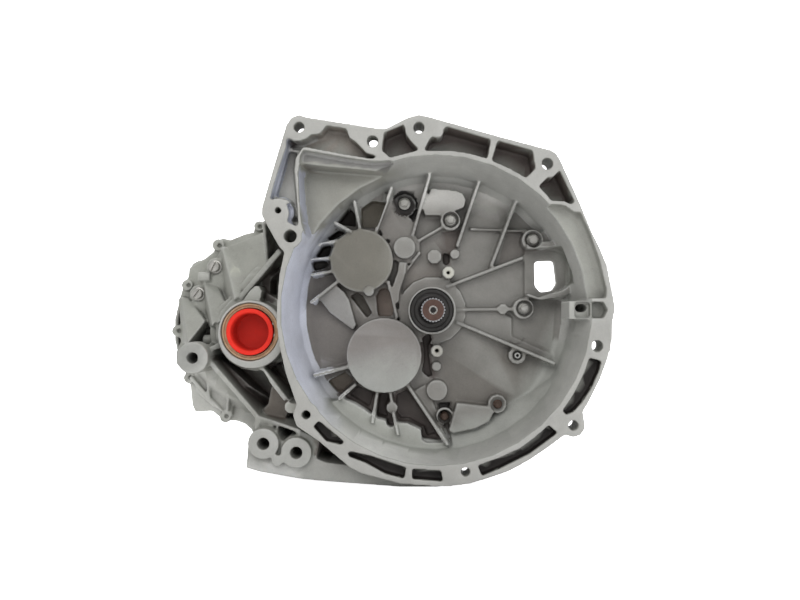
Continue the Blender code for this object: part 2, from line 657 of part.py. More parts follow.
face_ribs = [
    ((412, 237), (430, 174), 3.4, 64, 50, 76), ((457, 247), (479, 182), 3.4, 64, 52, 76), ((491, 267), (516, 202), 3.4, 64, 52, 76),
    ((376, 231), (392, 186), 3.6, 60, 48, 76), ((446, 287), (551, 247), 3.4, 64, 60, 76), ((456, 310), (514, 309), 3.4, 64, 62, 76),
    ((456, 322), (556, 364), 3.6, 64, 52, 76), ((408, 386), (448, 446), 3.6, 62, 44, 76), ((418, 241), (442, 227), 3.0, 64, 62, 76),
    ((388, 281), (397, 318), 3.4, 62, 62, 76), ((334, 222), (352, 232), 3.2, 40, 56, 76), ((354, 200), (360, 230), 3.2, 40, 58, 76),
    ((318, 245), (338, 240), 3.2, 42, 58, 76), ((310, 260), (332, 257.5), 3.2, 44, 60, 76), ((310, 275), (333, 271), 3.2, 48, 60, 76),
    ((310, 303), (338, 281), 3.4, 46, 60, 76), ((313, 376), (348, 367), 4.2, 36, 58, 76), ((338, 400), (356, 384), 3.4, 42, 60, 76),
    ((372, 424), (377, 393), 3.4, 44, 60, 76), ((390, 392), (392, 404), 3.2, 60, 58, 76), ((393, 412), (398, 436), 3.4, 52, 44, 76),
]
after = [rib(*r) for r in face_ribs]
after += [rib(*r) for r in ribs]
after += [
    # bosses on the back wall
    sdisc(361.5, 260.5, 31.5, 58, 78, 32), sdisc(384, 355.5, 37.5, 56, 78, 36),
    sdisc(404.5, 247.5, 16, 66, 76, 18), sdisc(404.5, 247.5, 11, 58, 76, 18), sdisc(434.5, 256.5, 7.5, 62, 76, 14),
    sdisc(455, 254, 5, 62, 76, 12), sdisc(448.5, 272.5, 6.5, 54, 76, 14), sdisc(437, 351, 6.5, 54, 76, 14),
    sdisc(436.5, 366.5, 5, 64, 76, 12), sdisc(437, 390.5, 10.5, 62, 76, 16), sdisc(503, 309, 5.5, 62, 76, 12),
    sdisc(432.2, 310.5, 34, 66, 90, 28), sdisc(432.2, 310.5, 24, 48, 90, 32),
    sdisc(523.5, 308.5, 10.5, 60, 76, 16), sdisc(450.5, 220.5, 10, 60, 76, 16), sdisc(532.5, 240, 10.5, 56, 76, 16),
    sdisc(517.5, 355.5, 9, 60, 76, 14), sdisc(404.5, 204, 12, 58, 76, 16), sdisc(497.5, 404, 9.5, 60, 76, 14),
    # raised pads
    sprism([(457, 403), (492, 407), (494, 412), (489, 422), (475, 429), (453, 433.5), (449, 431)], 58, 76),
    sprism([(431, 188), (455, 190), (463, 193), (466, 200), (464, 207), (458, 209.5), (447, 210), (440, 215), (425, 215), (423, 208)], 60, 76),
    sprism([(527, 244), (560, 240), (582, 252), (582, 286), (566, 296), (541, 300), (527, 296)], 52, 76),
]
BOLT_SPOTS = {  # bolts on the back wall: sheet point, seat depth, seat radius, head radius
    "inner_bolt_right": (523.5, 308.5, 66, 7.2, 5.4), "inner_bolt_top": (450.5, 220.5, 66, 7.0, 5.4),
    "inner_bolt_window": (532.5, 240, 62, 7.6, 6.2), "inner_bolt_corner": (404.5, 204, 66, 6.4, 5.2),
    "inner_bolt_bottom": (444.5, 416, 70, 6.4, 5.2), "inner_bolt_lower_right": (497.5, 404, 62, 6.6, 5.4),
}
cuts_after = [
    sprism(WINDOW, 40, 120), sprism(WINDOW_RECESS, 40, 68),
    disc(IN, 19.4, 60, 90, 28), bore(IN, 23.2 + GAP, 40, 60 + GAP),
    sdisc(448.5, 272.5, 2, 50, 70, 10), sdisc(437, 351, 2.2, 50, 70, 10),
    sdisc(306, 415, 4.3, -1, 26, 14),
    disc(sh(192, 358, 20), 5.7, 10, 120, 16), disc(sh(263, 444, 16), 6.2, 10, 70, 16), disc(sh(296, 453, 16), 6.2, 10, 70, 16),
    sprism([(300, 175), (330, 172), (380, 176), (341, 194), (305, 235), (297, 239), (288, 216), (284, 200)], 42, 130),
]
CASE_BOLTS = {"case_bolt_upper": (215.5, 267), "case_bolt_lower": (198.5, 294)}
for sx, sy in CASE_BOLTS.values():
    cuts_after += [disc(sh(sx, sy, 84), 4.3, 80, 95, 10), disc(sh(sx, sy, 84), 9.0, 66, 84, 14)]
for name, (sx, sy, y, r, hr) in BOLT_SPOTS.items():
    c = sh(sx, sy, y)
    cuts_after += [disc(c, r + 1.6, 40, y, 12), disc(c, 4.3, y - 1, y + 13, 10)]
for k, (sx, sy, r, depth) in HOLES.items():
    cuts_after.append(disc(sh(sx, sy, 0), r, -1, 74, 12))
for poly in SLOTS:
    cuts_after.append(sprism(poly, -1, 11))
for poly in POCKETS:
    cuts_after.append(sprism(poly, -1, 26))
# the sloped dish in the upper left corner and the strip on the right fall away inwards
dish_back = shs([(308, 170), (346, 173), (372, 175), (391, 176), (389, 186), (358, 206), (330, 238), (314, 242), (308, 224), (305, 200), (304, 178)], 34)
cuts_after.append(loft(ccw(shs(DISH, 0)), ccw(dish_back), -1.0, 34.0))
cuts_after.append(sprism(STRIP, -1, 9))
cuts_after.append(sprism(RECESS, -1, 17))
cuts_after.append(loft(ccw(shs(CHANNEL, 0)), ccw(shs([(290, 153), (298, 154), (295, 160), (294, 171), (296.5, 200), (297.5, 222), (291, 221), (283, 212), (277, 204), (277, 199)], 20)), -1.0, 20.0))
for poly, y0 in CAVITIES:
    cuts_after.append(prism(shs(poly, y0), -1.0, 84.0))
for poly in OPENINGS:
    cuts_after.append(prism(shs(poly, BELL_WALL_Y), 46.0, 84.0))
# bearing seats, open to the gear chamber
BEAR = {  # outer race: centre, bore radius, outer radius, first and last depth
    "input_bearing_front": (IN, 15.0, 26.0, 92.0, 108.0), "lower_bearing_front": (LO, 17.5, 31.0, 92.0, 110.0),
    "upper_bearing_front": (UP, 17.5, 31.0, 92.0, 110.0), "differential_bearing_front": (DI, 26.0, 42.0, 92.0, 110.0),
}
after2 = [
    sdisc(277.5, 210, 16, 0.0, 32, 18), sdisc(290, 236, 12.5, 0.0, 30, 16),
    disc(IN, 33.0, 84, 108, 28), disc(LO, 37.0, 84, 109, 28), disc(UP, 37.0, 84, 109, 28), disc(DI, 49.0, 84, 108.5, 24),
    disc(DI, 43.0, 48, 90, 32), disc(ROD_UP, 10.0, 84, 109, 16), disc(ROD_LO, 10.0, 84, 109, 16), disc(RI, 12.0, 84, 109, 16),
]
final_cuts = [sdisc(277.5, 210, 3.3, -1, 18, 12), sdisc(290, 236, 6, -1, 9, 14)]
final_cuts += [bore(c, ro + GAP, y0 - GAP, 112) for c, ri, ro, y0, y1 in BEAR.values()]
final_cuts += [disc(IN, 12.6, 80, 95, 24), disc(DI, 23.0, 58, 95, 28), bore(DI, PORT_R + GAP, 10, 59)]
final_cuts += [disc(LO, 12.0, 86, 95, 20), disc(UP, 12.0, 86, 95, 20)]
final_cuts += [bore(ROD_UP, 5.9 + GAP, 98, 112), bore(ROD_LO, 5.9 + GAP, 98, 112), bore(RI, 7.0 + GAP, 98, 112)]
housing = casting("clutch_housing", flange, joins, cuts, after, cuts_after)
boolean(housing, after2, "UNION")
boolean(housing, final_cuts, "DIFFERENCE")
tidy(housing)
finish(housing, CAST)

# ---------------------------------------------------------------- gear case and end cover
REAR_Y = 306.0
DRAIN = (-70.0, 240.0)
DRAIN_Z = top_of(REAR_OUT, -70.0, -1)
CASE_FACE = SPLIT_Y + GAP
case_joins = [
    prism(CASE_OUT, 118.0, 156.0), prism(REAR_OUT, CASE_FACE, CASE_END_Y), disc(DI, 56.0, 150.0, 196.0, 24, 50.0),
]
case_joins += [disc(sh(x, y, 104.0), r * 1.17, CASE_FACE, 128.0, 9) for x, y, r in LUGS]
for ang in range(8):                       # stiffening ribs round the ring gear's end wall
    a = math.radians(100 + ang * 22.5)
    p0 = (DI[0] + 46 * math.cos(a), DI[1] + 46 * math.sin(a))
    p1 = (DI[0] + 108 * math.cos(a), DI[1] + 108 * math.sin(a))
    nx, nz = -math.sin(a) * 2.2, math.cos(a) * 2.2
    quad = [(p0[0] + nx, p0[1] + nz), (p1[0] + nx, p1[1] + nz), (p1[0] - nx, p1[1] - nz), (p0[0] - nx, p0[1] - nz)]
    case_joins.append(loft(ccw(quad), ccw(quad), 150.0, 172.0 if ang % 2 else 168.0))
for zc in (-62.0, 8.0, 74.0):              # ribs along the case's left side
    case_joins.append(box(-152.0, -120.0, 150.0, 322.0, zc - 2.2, zc + 2.2))
for yc in (196.0, 258.0):                  # and round its top and bottom
    case_joins.append(prism(circles_hull(REAR_CIRCLES, WALL + 4.0), yc - 2.2, yc + 2.2))
case_joins.append(prism(circles_hull(REAR_CIRCLES, WALL + 7.0), CASE_END_Y - 10.0, CASE_END_Y))
case_joins.append(upright(SEL[0], SEL[1], 21.0, 88.0, 142.0, 20))          # selector turret seat
SWITCH_Z = top_of(REAR_OUT, -34.0) + 3.0
BREATHER_Z = top_of(REAR_OUT, -60.0)
case_joins.append(upright(-20.0, 226.0, 13.0, SWITCH_Z - 20.0, SWITCH_Z, 14))  # reverse light switch boss
case_cuts = [
    prism(CASE_IN, SPLIT_Y - 1.0, 151.0), prism(REAR_IN, SPLIT_Y - 1.0, REAR_Y),
    upright(SEL[0], SEL[1], 14.0, 94.0, 150.0, 16), upright(-20.0, 226.0, 8.0, SWITCH_Z - 40.0, SWITCH_Z + 5.0, 12),
    upright(DRAIN[0], DRAIN[1], 8.5, -220.0, DRAIN_Z + 20.0, 12),
]
REAR_BEAR = {
    "input_bearing_rear": (IN, 13.0, 24.0, 308.0, 324.0), "lower_bearing_rear": (LO, 14.0, 27.0, 308.0, 325.0),
    "upper_bearing_rear": (UP, 14.0, 27.0, 308.0, 325.0), "differential_bearing_rear": (DI, 26.0, 42.0, 172.0, 188.0),
}
case_after = [disc(DI, 50.0, 164.0, 195.0, 24)]
case_final = [bore(c, ro + GAP, y0 - 9.0, y1 + GAP) for c, ri, ro, y0, y1 in REAR_BEAR.values() if c is not DI]
case_final += [bore(DI, 42.0 + GAP, 165.0, 188.0 + GAP), bore(DI, 47.6, 139.0, 171.6), disc(DI, 30.0, 180.0, 200.0, 22)]
case_final += [disc(IN, 18.0, 300.0, 332.0, 14), disc(LO, 20.0, 300.0, 332.0, 14), disc(UP, 20.0, 300.0, 332.0, 14)]
case_final += [bore(ROD_UP, 5.9 + GAP, 300.0, 318.0), bore(ROD_LO, 5.9 + GAP, 300.0, 318.0), bore(RI, 7.0 + GAP, 176.0, 198.0)]
case_mid = [disc(RI, 13.0, 180.0, 200.0, 12), box(RI[0] - 3.0, RI[0] + 3.0, 186.0, 200.0, RI[1], RI[1] + 44.0)]
case_final += [disc(sh(192, 358, 20), 6.2, 100.0, 130.0, 10)]
case = casting("gear_case", prism(SPLIT_OUTLINE, CASE_FACE, 119.0), case_joins, case_cuts, case_after + case_mid, case_final)
tidy(case)
finish(case, CAST)

cover_out = circles_hull([(UP, 60.0), (LO, 56.0), (IN, 47.0)], 8.0, 24)
cover_in = circles_hull([(UP, 52.0), (LO, 48.0), (IN, 32.0)], 0.0, 24)
cover = casting(
    "end_cover", prism(cover_out, CASE_END_Y + GAP, CASE_END_Y + 8.0),
    [loft(ccw(circles_hull([(UP, 56.0), (LO, 52.0), (IN, 36.0)], 0.0, 24)), ccw(circles_hull([(UP, 46.0), (LO, 42.0), (IN, 28.0)], 0.0, 24)), CASE_END_Y + 4.0, CASE_END_Y + 24.0)],
    [prism(cover_in, CASE_END_Y - 1.0, CASE_END_Y + 4.0), loft(ccw(cover_in), ccw(circles_hull([(UP, 42.0), (LO, 38.0), (IN, 24.0)], 0.0, 24)), CASE_END_Y + 3.0, CASE_END_Y + 20.0)],
    [disc(UP, 22.0, CASE_END_Y + 20.5, CASE_END_Y + 27.0, 18), disc(LO, 20.0, CASE_END_Y + 20.5, CASE_END_Y + 27.0, 18)],
)
tidy(cover)
finish(cover, CAST)

# ---------------------------------------------------------------- seals, plug, bolts, fittings
def turned_object(name, profile, c, mat, n=32):
    obj = add_object(name, turned(profile, c, n), mat, (c[0], 0.0, c[1]))
    return finish(obj, mat)


turned_object("input_shaft_seal", [(11.6, 60.0), (23.2, 60.0), (23.2, 50.5), (15.5, 50.5), (13.6, 53.0), (11.6, 54.5)], IN, RUBBER, 32)
turned_object("differential_seal_front", [(24.8, 58.6), (PORT_R, 58.6), (PORT_R, 33.0), (28.6, 33.0), (27.4, 50.0), (24.8, 54.0)], DI, SEAL, 36)
plug_obj = casting(
    "transport_plug", disc(DI, 24.4, 25.5, 29.6, 36), [disc(DI, 22.0, 27.0, 48.0, 36, 20.6)],
    [disc(DI, 19.8, 24.0, 45.5, 36, 18.0)],
)
finish(plug_obj, PLASTIC)
for name, (sx, sy, y, r, hr) in BOLT_SPOTS.items():
    bolt(name, sh(sx, sy, y), y - GAP, r, hr, 6.4, 3.9, 12.0)
for name, (sx, sy) in CASE_BOLTS.items():
    bolt(name, sh(sx, sy, 84), 84 - GAP, 7.6, 6.0, 7.0, 3.9, 9.0)


def upright_object(name, sections, cx, cy, mat, n=18):
    """A turned piece standing along Z: sections are (radius, z0, z1) from the bottom up."""
    verts, faces = [], []
    for k, (r, z0, z1) in enumerate(sections):
        for z in (z0, z1):
            verts += [(cx + r * math.cos(TAU * i / n), cy + r * math.sin(TAU * i / n), z) for i in range(n)]
    levels = 2 * len(sections)
    for q in range(levels - 1):
        for i in range(n):
            j = (i + 1) % n
            faces.append((q * n + i, q * n + j, (q + 1) * n + j, (q + 1) * n + i))
    faces += [tuple(range(n))[::-1], tuple(range((levels - 1) * n, levels * n))]
    return finish(add_object(name, (verts, faces), mat, (cx, cy, 0.0)), mat)


upright_object("breather", [(3.6, BREATHER_Z + 1.6, BREATHER_Z + 8.0), (5.5, BREATHER_Z + 8.0, BREATHER_Z + 13.0), (8.0, BREATHER_Z + 13.0, BREATHER_Z + 20.0)], -60.0, 226.0, BOLT, 12)
upright_object("reverse_switch", [(7.5, SWITCH_Z - 16.0, SWITCH_Z + 0.4), (12.0, SWITCH_Z + 0.4, SWITCH_Z + 6.0), (9.0, SWITCH_Z + 6.0, SWITCH_Z + 20.0), (7.0, SWITCH_Z + 20.0, SWITCH_Z + 30.0)], -20.0, 226.0, BRONZE, 12)
upright_object("drain_plug", [(8.5, DRAIN_Z - 7.0, DRAIN_Z - 0.5), (8.0, DRAIN_Z - 0.5, DRAIN_Z + 8.0)], DRAIN[0], DRAIN[1], BOLT, 12)

# ---------------------------------------------------------------- gears and shafts
PH = {}
PH["in"] = 0.0
step_in = {k: mate(IN, 0.0, z, LO, Z_LOWER[w]) for k, z, w in (
    ("first", Z_IN["first"], "first"), ("second", Z_IN["second"], "second"),
    ("fifth", Z_IN["third_fifth"], "fifth"), ("sixth", Z_IN["fourth_sixth"], "sixth"))}
up_phase = {k: mate(IN, 0.0, z, UP, Z_UPPER[k]) for k, z in (("third", Z_IN["third_fifth"]), ("fourth", Z_IN["fourth_sixth"]))}
idler_phase = mate(IN, 0.0, Z_IN["first"], RI, Z_IDLER)
reverse_phase = mate(RI, idler_phase, Z_IDLER, UP, Z_UPPER["reverse"])
lower_phase = mate(DI, 0.0, Z_RING, LO, Z_PINION_LOWER)
upper_phase = mate(DI, 0.0, Z_RING, UP, Z_PINION_UPPER)


def gear_outline(z, c, phase):
    return tooth_profile(z, c, phase)


def plane(name, trim=0.0):
    return PLANE[name][0] + trim, PLANE[name][1] - trim


def shaft(name, c, parts, mat=STEEL):
    """A shaft from sections (outline or radius, y0, y1), front to rear."""
    sections = [(circle(c, o, 16) if isinstance(o, float) else o, y0, y1, 0.0) for o, y0, y1 in parts]
    return finish(add_object(name, stack(c, sections), mat, (c[0], 0.0, c[1])), mat, 30)


g1, g2, g35, g46, gf = (plane(k) for k in ("first", "second", "third_fifth", "fourth_sixth", "final"))
spline = tooth_profile(24, IN, 0.0, 1.0, 0.3, 0.7, 0.0)
shaft("input_shaft", IN, [
    (spline, 0.0, 44.0), (11.0, 44.0, 92.2), (14.6, 92.2, 109.0), (17.0, 109.0, 111.0), (12.5, 111.0, g1[0]),
    (gear_outline(Z_IN["first"], IN, 0.0), *g1), (12.0, g1[1], g2[0]), (gear_outline(Z_IN["second"], IN, 0.0), *g2),
    (16.0, g2[1], g35[0]), (gear_outline(Z_IN["third_fifth"], IN, 0.0), *g35), (22.0, g35[1], g46[0]),
    (gear_outline(Z_IN["fourth_sixth"], IN, 0.0), *g46), (17.0, g46[1], 307.0), (12.6, 307.0, 324.0),
])
HUB_R = 27.0
SHAFT_R = 15.0


def hub(c):
    return circle(c, HUB_R, 24)


MID12 = (g1[1] + g2[0]) / 2
MID3456 = (g35[1] + g46[0]) / 2
MIDR = MID12
shaft("lower_output_shaft", LO, [
    (17.1, 93.0, 111.0), (22.0, 111.0, gf[0]), (gear_outline(Z_PINION_LOWER, LO, lower_phase), *gf), (20.0, gf[1], 155.0),
    (SHAFT_R, 155.0, MID12 - 7.0), (hub(LO), MID12 - 7.0, MID12 + 7.0), (SHAFT_R, MID12 + 7.0, MID3456 - 7.0),
    (hub(LO), MID3456 - 7.0, MID3456 + 7.0), (SHAFT_R, MID3456 + 7.0, 303.0), (17.0, 303.0, 307.0), (13.6, 307.0, 325.0),
])
shaft("upper_output_shaft", UP, [
    (17.1, 93.0, 111.0), (22.0, 111.0, gf[0]), (gear_outline(Z_PINION_UPPER, UP, upper_phase), *gf), (20.0, gf[1], 155.0),
    (SHAFT_R, 155.0, MIDR - 7.0), (hub(UP), MIDR - 7.0, MIDR + 7.0), (SHAFT_R, MIDR + 7.0, 229.0), (19.0, 229.0, 231.5),
    (SHAFT_R, 231.5, MID3456 - 7.0), (hub(UP), MID3456 - 7.0, MID3456 + 7.0), (SHAFT_R, MID3456 + 7.0, 303.0), (17.0, 303.0, 307.0),
    (13.6, 307.0, 325.0),
])
CONE_R = 24.0


def speed_gear(name, z, c, phase, where, dog):
    """A gear that runs free on its shaft. Its synchroniser cone sits on the side named by dog."""
    y0, y1 = plane(where)
    root = MODULE * z / 2 - DED * MODULE
    wheel = (gear_outline(z, c, phase), y0 + 0.4, y1 - 0.4)
    cone = (circle(c, min(CONE_R, root - 1.0), 24), y1 - 0.4, y1 + 3.6) if dog > 0 else (circle(c, min(CONE_R, root - 1.0), 24), y0 - 3.6, y0 + 0.4)
    parts = [wheel, cone] if dog > 0 else [cone, wheel]
    sections = [(o, a, b, 0.0) for o, a, b in parts]
    return finish(add_object(name, stack(c, sections, SHAFT_R + 0.35, 20), STEEL, (c[0], 0.0, c[1])), STEEL, 30)


speed_gear("first_gear", Z_LOWER["first"], LO, step_in["first"], "first", 1)
speed_gear("second_gear", Z_LOWER["second"], LO, step_in["second"], "second", -1)
speed_gear("fifth_gear", Z_LOWER["fifth"], LO, step_in["fifth"], "third_fifth", 1)
speed_gear("sixth_gear", Z_LOWER["sixth"], LO, step_in["sixth"], "fourth_sixth", -1)
speed_gear("third_gear", Z_UPPER["third"], UP, up_phase["third"], "third_fifth", 1)
speed_gear("fourth_gear", Z_UPPER["fourth"], UP, up_phase["fourth"], "fourth_sixth", -1)
speed_gear("reverse_gear", Z_UPPER["reverse"], UP, reverse_phase, "first", 1)

idler = finish(add_object("reverse_idler", stack(RI, [
    (gear_outline(Z_IDLER, RI, idler_phase), g1[0] + 0.4, g1[1] - 0.4, 0.0)], 7.4, 18), STEEL, (RI[0], 0.0, RI[1])), STEEL, 30)
shaft("idler_shaft", RI, [(7.0, 99.0, 197.0)])

# ---------------------------------------------------------------- differential
DIFF_Y = 144.0
case_d = turned([
    (15.2, 93.0), (25.6, 93.0), (25.6, 111.0), (44.0, 114.0), (46.0, 120.0), (46.0, 148.0), (40.0, 168.0), (25.6, 171.0), (25.6, 188.0),
    (15.2, 188.0), (15.2, 162.5), (34.0, 161.5), (34.0, 126.5), (15.2, 125.5)], DI, 28)
obj = bpy.data.objects.new("differential_case", mesh_of("differential_case", case_d))
bpy.context.scene.collection.objects.link(obj)


def along_x(r, x0, x1, c, y, n=12):
    """A round bar along X through (c, y)."""
    lo = [(x0, y + r * math.cos(TAU * i / n), c[1] + r * math.sin(TAU * i / n)) for i in range(n)]
    hi = [(x1, y + r * math.cos(TAU * i / n), c[1] + r * math.sin(TAU * i / n)) for i in range(n)]
    faces = [tuple(range(n)), tuple(range(n, 2 * n))[::-1]]
    faces += [(i, n + i, n + (i + 1) % n, (i + 1) % n) for i in range(n)]
    return lo + hi, faces


boolean(obj, [along_x(6.3, DI[0] - 60, DI[0] + 60, DI, DIFF_Y)], "DIFFERENCE")
tidy(obj)
set_origin(obj, (DI[0], 0.0, DI[1]))
finish(obj, STEEL)
pin = finish(add_object("differential_pin", along_x(5.9, DI[0] - 44, DI[0] + 44, DI, DIFF_Y), STEEL, (DI[0], 0.0, DI[1])), STEEL)
finish(add_object("ring_gear", stack(DI, [(gear_outline(Z_RING, DI, 0.0), gf[0], gf[1], 0.0)], 46.6, 24), STEEL, (DI[0], 0.0, DI[1])), STEEL, 30)
for name, s in (("side_gear_front", -1), ("side_gear_rear", 1)):
    prof = [(11.0, DIFF_Y + s * 44), (14.7, DIFF_Y + s * 44), (14.7, DIFF_Y + s * 17.2), (30.0, DIFF_Y + s * 17.2), (30.0, DIFF_Y + s * 15.5), (14.0, DIFF_Y + s * 8.2), (11.0, DIFF_Y + s * 8.2)]
    turned_object(name, prof, DI, STEEL, 20)


def planet(name, s):
    """A planet wheel on the pin: a cone whose point is the middle of the differential."""
    n = 14
    prof = [(6.4, 15.0), (7.0, 15.0), (14.1, 29.4), (10.0, 31.0), (6.4, 31.0)]
    verts, faces = [], []
    m = len(prof)
    for i in range(n):
        a = TAU * i / n
        verts += [(DI[0] + s * x, DIFF_Y + r * math.cos(a), DI[1] + r * math.sin(a)) for r, x in prof]
    for i in range(n):
        for k in range(m):
            faces.append((i * m + k, i * m + (k + 1) % m, ((i + 1) % n) * m + (k + 1) % m, ((i + 1) % n) * m + k))
    return finish(add_object(name, (verts, faces), STEEL, (DI[0], DIFF_Y, DI[1])), STEEL)


planet("planet_gear_inner", 1)
planet("planet_gear_outer", -1)

# ---------------------------------------------------------------- bearings
for name, (c, ri, ro, y0, y1) in {**BEAR, **REAR_BEAR}.items():
    finish(add_object(name, ring(c, ri + 0.4, ro, y0, y1 - 0.5, 14), BEARING, (c[0], 0.0, c[1])), BEARING)

# ---------------------------------------------------------------- synchroniser sleeves, forks, rails
SLEEVES = {"sleeve_first_second": (LO, MID12), "sleeve_fifth_sixth": (LO, MID3456), "sleeve_third_fourth": (UP, MID3456), "sleeve_reverse": (UP, MIDR)}
for name, (c, y) in SLEEVES.items():
    turned_object(name, [(28.4, y - 7), (38, y - 7), (38, y - 3.2), (34.4, y - 3.2), (34.4, y + 3.2), (38, y + 3.2), (38, y + 7), (28.4, y + 7)], c, STEEL, 14)
FORKS = {"fork_first_second": (LO, MID12, ROD_LO), "fork_fifth_sixth": (LO, MID3456, ROD_LO), "fork_third_fourth": (UP, MID3456, ROD_UP), "fork_reverse": (UP, MIDR, ROD_UP)}
for name, (c, y, rod) in FORKS.items():
    d = math.dist(c, rod)
    ux, uz = (rod[0] - c[0]) / d, (rod[1] - c[1]) / d
    away = [(c[0] + ux * a - uz * b, c[1] + uz * a + ux * b) for a, b in ((6, -90), (6, 90), (-90, 90), (-90, -90))]
    obj = bpy.data.objects.new(name, mesh_of(name, prism(circles_hull([(rod, 8.0), (c, 43.0)]), y - 2.5, y + 2.5)))
    bpy.context.scene.collection.objects.link(obj)
    boolean(obj, [disc(c, 35.6, y - 9, y + 9, 40), prism(away, y - 9, y + 9)], "DIFFERENCE")
    boolean(obj, [disc(rod, 9.4, y - 12, y + 12, 14)], "UNION")
    boolean(obj, [disc(rod, 6.45, y - 20, y + 20, 14)], "DIFFERENCE")
    tidy(obj)
    set_origin(obj, (rod[0], y, rod[1]))
    finish(obj, BRONZE)
shaft("fork_rail_upper", ROD_UP, [(5.9, 99.0, 317.0)])
shaft("fork_rail_lower", ROD_LO, [(5.9, 99.0, 317.0)])

# ---------------------------------------------------------------- selector
def turned_z(name, profile, cx, cy, mat, n=16):
    """A turned ring round a line along Z: profile is (r, z)."""
    verts, faces = turned(profile, (cx, cy), n)
    return finish(add_object(name, ([(a, b, y) for a, y, b in verts], faces), mat, (cx, cy, 0.0)), mat)


turned_z("selector_turret", [(7.2, 129.0), (13.3, 129.0), (13.3, 142.4), (20.0, 142.4), (20.0, 148.0), (13.0, 150.0), (12.0, 158.0), (7.2, 158.0)], *SEL, CAST)
upright_object("selector_shaft", [(6.5, 66.0, 184.0)], *SEL, STEEL, 12)


def arm(name, z0, z1, hub_r, tip, tip_r, eye):
    """A lever on the selector shaft: hub, arm and tip, lying flat between z0 and z1."""
    circles = [(SEL, hub_r), (tip, tip_r)]
    outline = circles_hull(circles)
    verts, faces = loft(ccw(outline), ccw(outline), z0, z1)
    obj = bpy.data.objects.new(name, mesh_of(name, ([(x, y, z) for x, z, y in verts], faces)))
    bpy.context.scene.collection.objects.link(obj)
    boolean(obj, [upright(SEL[0], SEL[1], 6.9, z0 - 5, z1 + 5, 14)], "DIFFERENCE")
    if eye:
        boolean(obj, [upright(tip[0], tip[1], 6.0, z1 - 1.0, z1 + 12.0, 12)], "UNION")
    tidy(obj)
    set_origin(obj, (SEL[0], SEL[1], 0.0))
    return finish(obj, STEEL)


arm("shift_finger", 84.0, 98.0, 10.0, (SEL[0] + 20.0, SEL[1]), 3.0, False)
arm("shift_lever", 167.0, 173.0, 12.0, (SEL[0] + 6.0, SEL[1] + 62.0), 8.0, True)
for name, (cx, cz) in {"cover_bolt_upper": (UP[0], UP[1] + 62.5), "cover_bolt_lower": (LO[0], LO[1] - 58.5)}.items():
    verts, faces = stack((cx, cz), [(circle((cx, cz), 7.0, 14), 0.0, 1.6, 0.0), (circle((cx, cz), 5.0, 6), 1.6, 7.0, 0.0)])
    finish(add_object(name, ([(x, y + CASE_END_Y + 8.0 + GAP, z) for x, y, z in verts], faces), BOLT, (cx, 0.0, cz)), BOLT, 30)
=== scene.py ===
"""Looks for a manual transmission: blasted castings, bolts, seals, splined shaft, red plug,
floor, light and camera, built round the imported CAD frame.

Lengths are millimetres until a mesh is made. The engine face of the clutch housing is the plane
y = 0 and looks towards -Y, where the camera stands; the gear case lies behind it towards +Y.
+Z is up, and the input shaft runs along Y through the origin. Left and right are as the camera
sees them, -X and +X."""
import bpy
import bmesh
import json
import math
import numpy as np
from mathutils import Vector, Matrix


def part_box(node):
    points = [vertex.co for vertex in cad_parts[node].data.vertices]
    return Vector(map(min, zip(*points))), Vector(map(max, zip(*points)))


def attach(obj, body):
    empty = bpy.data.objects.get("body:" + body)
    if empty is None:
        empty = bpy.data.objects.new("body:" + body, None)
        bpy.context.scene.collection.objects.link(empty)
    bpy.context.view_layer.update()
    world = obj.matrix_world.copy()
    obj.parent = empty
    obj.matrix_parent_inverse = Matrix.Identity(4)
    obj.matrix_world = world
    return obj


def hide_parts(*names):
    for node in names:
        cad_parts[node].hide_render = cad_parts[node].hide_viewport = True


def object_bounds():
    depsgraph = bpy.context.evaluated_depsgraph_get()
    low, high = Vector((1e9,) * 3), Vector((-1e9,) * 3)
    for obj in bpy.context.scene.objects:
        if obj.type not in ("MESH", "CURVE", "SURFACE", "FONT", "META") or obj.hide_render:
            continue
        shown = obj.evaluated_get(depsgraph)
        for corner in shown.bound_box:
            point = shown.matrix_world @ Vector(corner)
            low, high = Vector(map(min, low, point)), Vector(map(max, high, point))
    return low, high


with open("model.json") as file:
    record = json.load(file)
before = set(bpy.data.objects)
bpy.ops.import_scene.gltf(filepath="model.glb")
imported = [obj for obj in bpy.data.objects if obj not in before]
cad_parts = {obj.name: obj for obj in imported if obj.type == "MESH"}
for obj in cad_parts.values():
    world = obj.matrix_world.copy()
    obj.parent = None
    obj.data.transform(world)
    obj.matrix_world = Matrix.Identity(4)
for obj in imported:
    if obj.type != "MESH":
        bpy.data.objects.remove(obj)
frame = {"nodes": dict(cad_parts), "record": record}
CAD_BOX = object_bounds()
NODES = frame["nodes"]
MM = 0.001
TAU = 2 * math.pi

# ------------------------------------------------------------------ layout
# The camera's eye: its place across and up, and its distance before the engine face.
EYE_X, EYE_Z, EYE_D = -18.0, -5.0, 620.0


def carry(x, z, y):
    """Carries a point of the engine face along its line of sight to depth y."""
    spread = 1 + y / EYE_D
    return EYE_X + (x - EYE_X) * spread, EYE_Z + (z - EYE_Z) * spread


def axis_span(node, axes="xzy"):
    """A CAD node's centre on the first two axes, then its ends along the third."""
    low, high = ([getattr(corner, axis) for axis in axes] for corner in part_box(node))
    centre = tuple((a + b) / 2 / MM for a, b in zip(low[:2], high[:2]))
    return centre, low[2] / MM, high[2] / MM


DIFFERENTIAL = axis_span("differential_bearing_front")[0]
UPPER = axis_span("upper_bearing_front")[0]
LOWER = axis_span("lower_bearing_front")[0]
INPUT = (0.0, 0.0)
BELL = (2.8, -0.4)


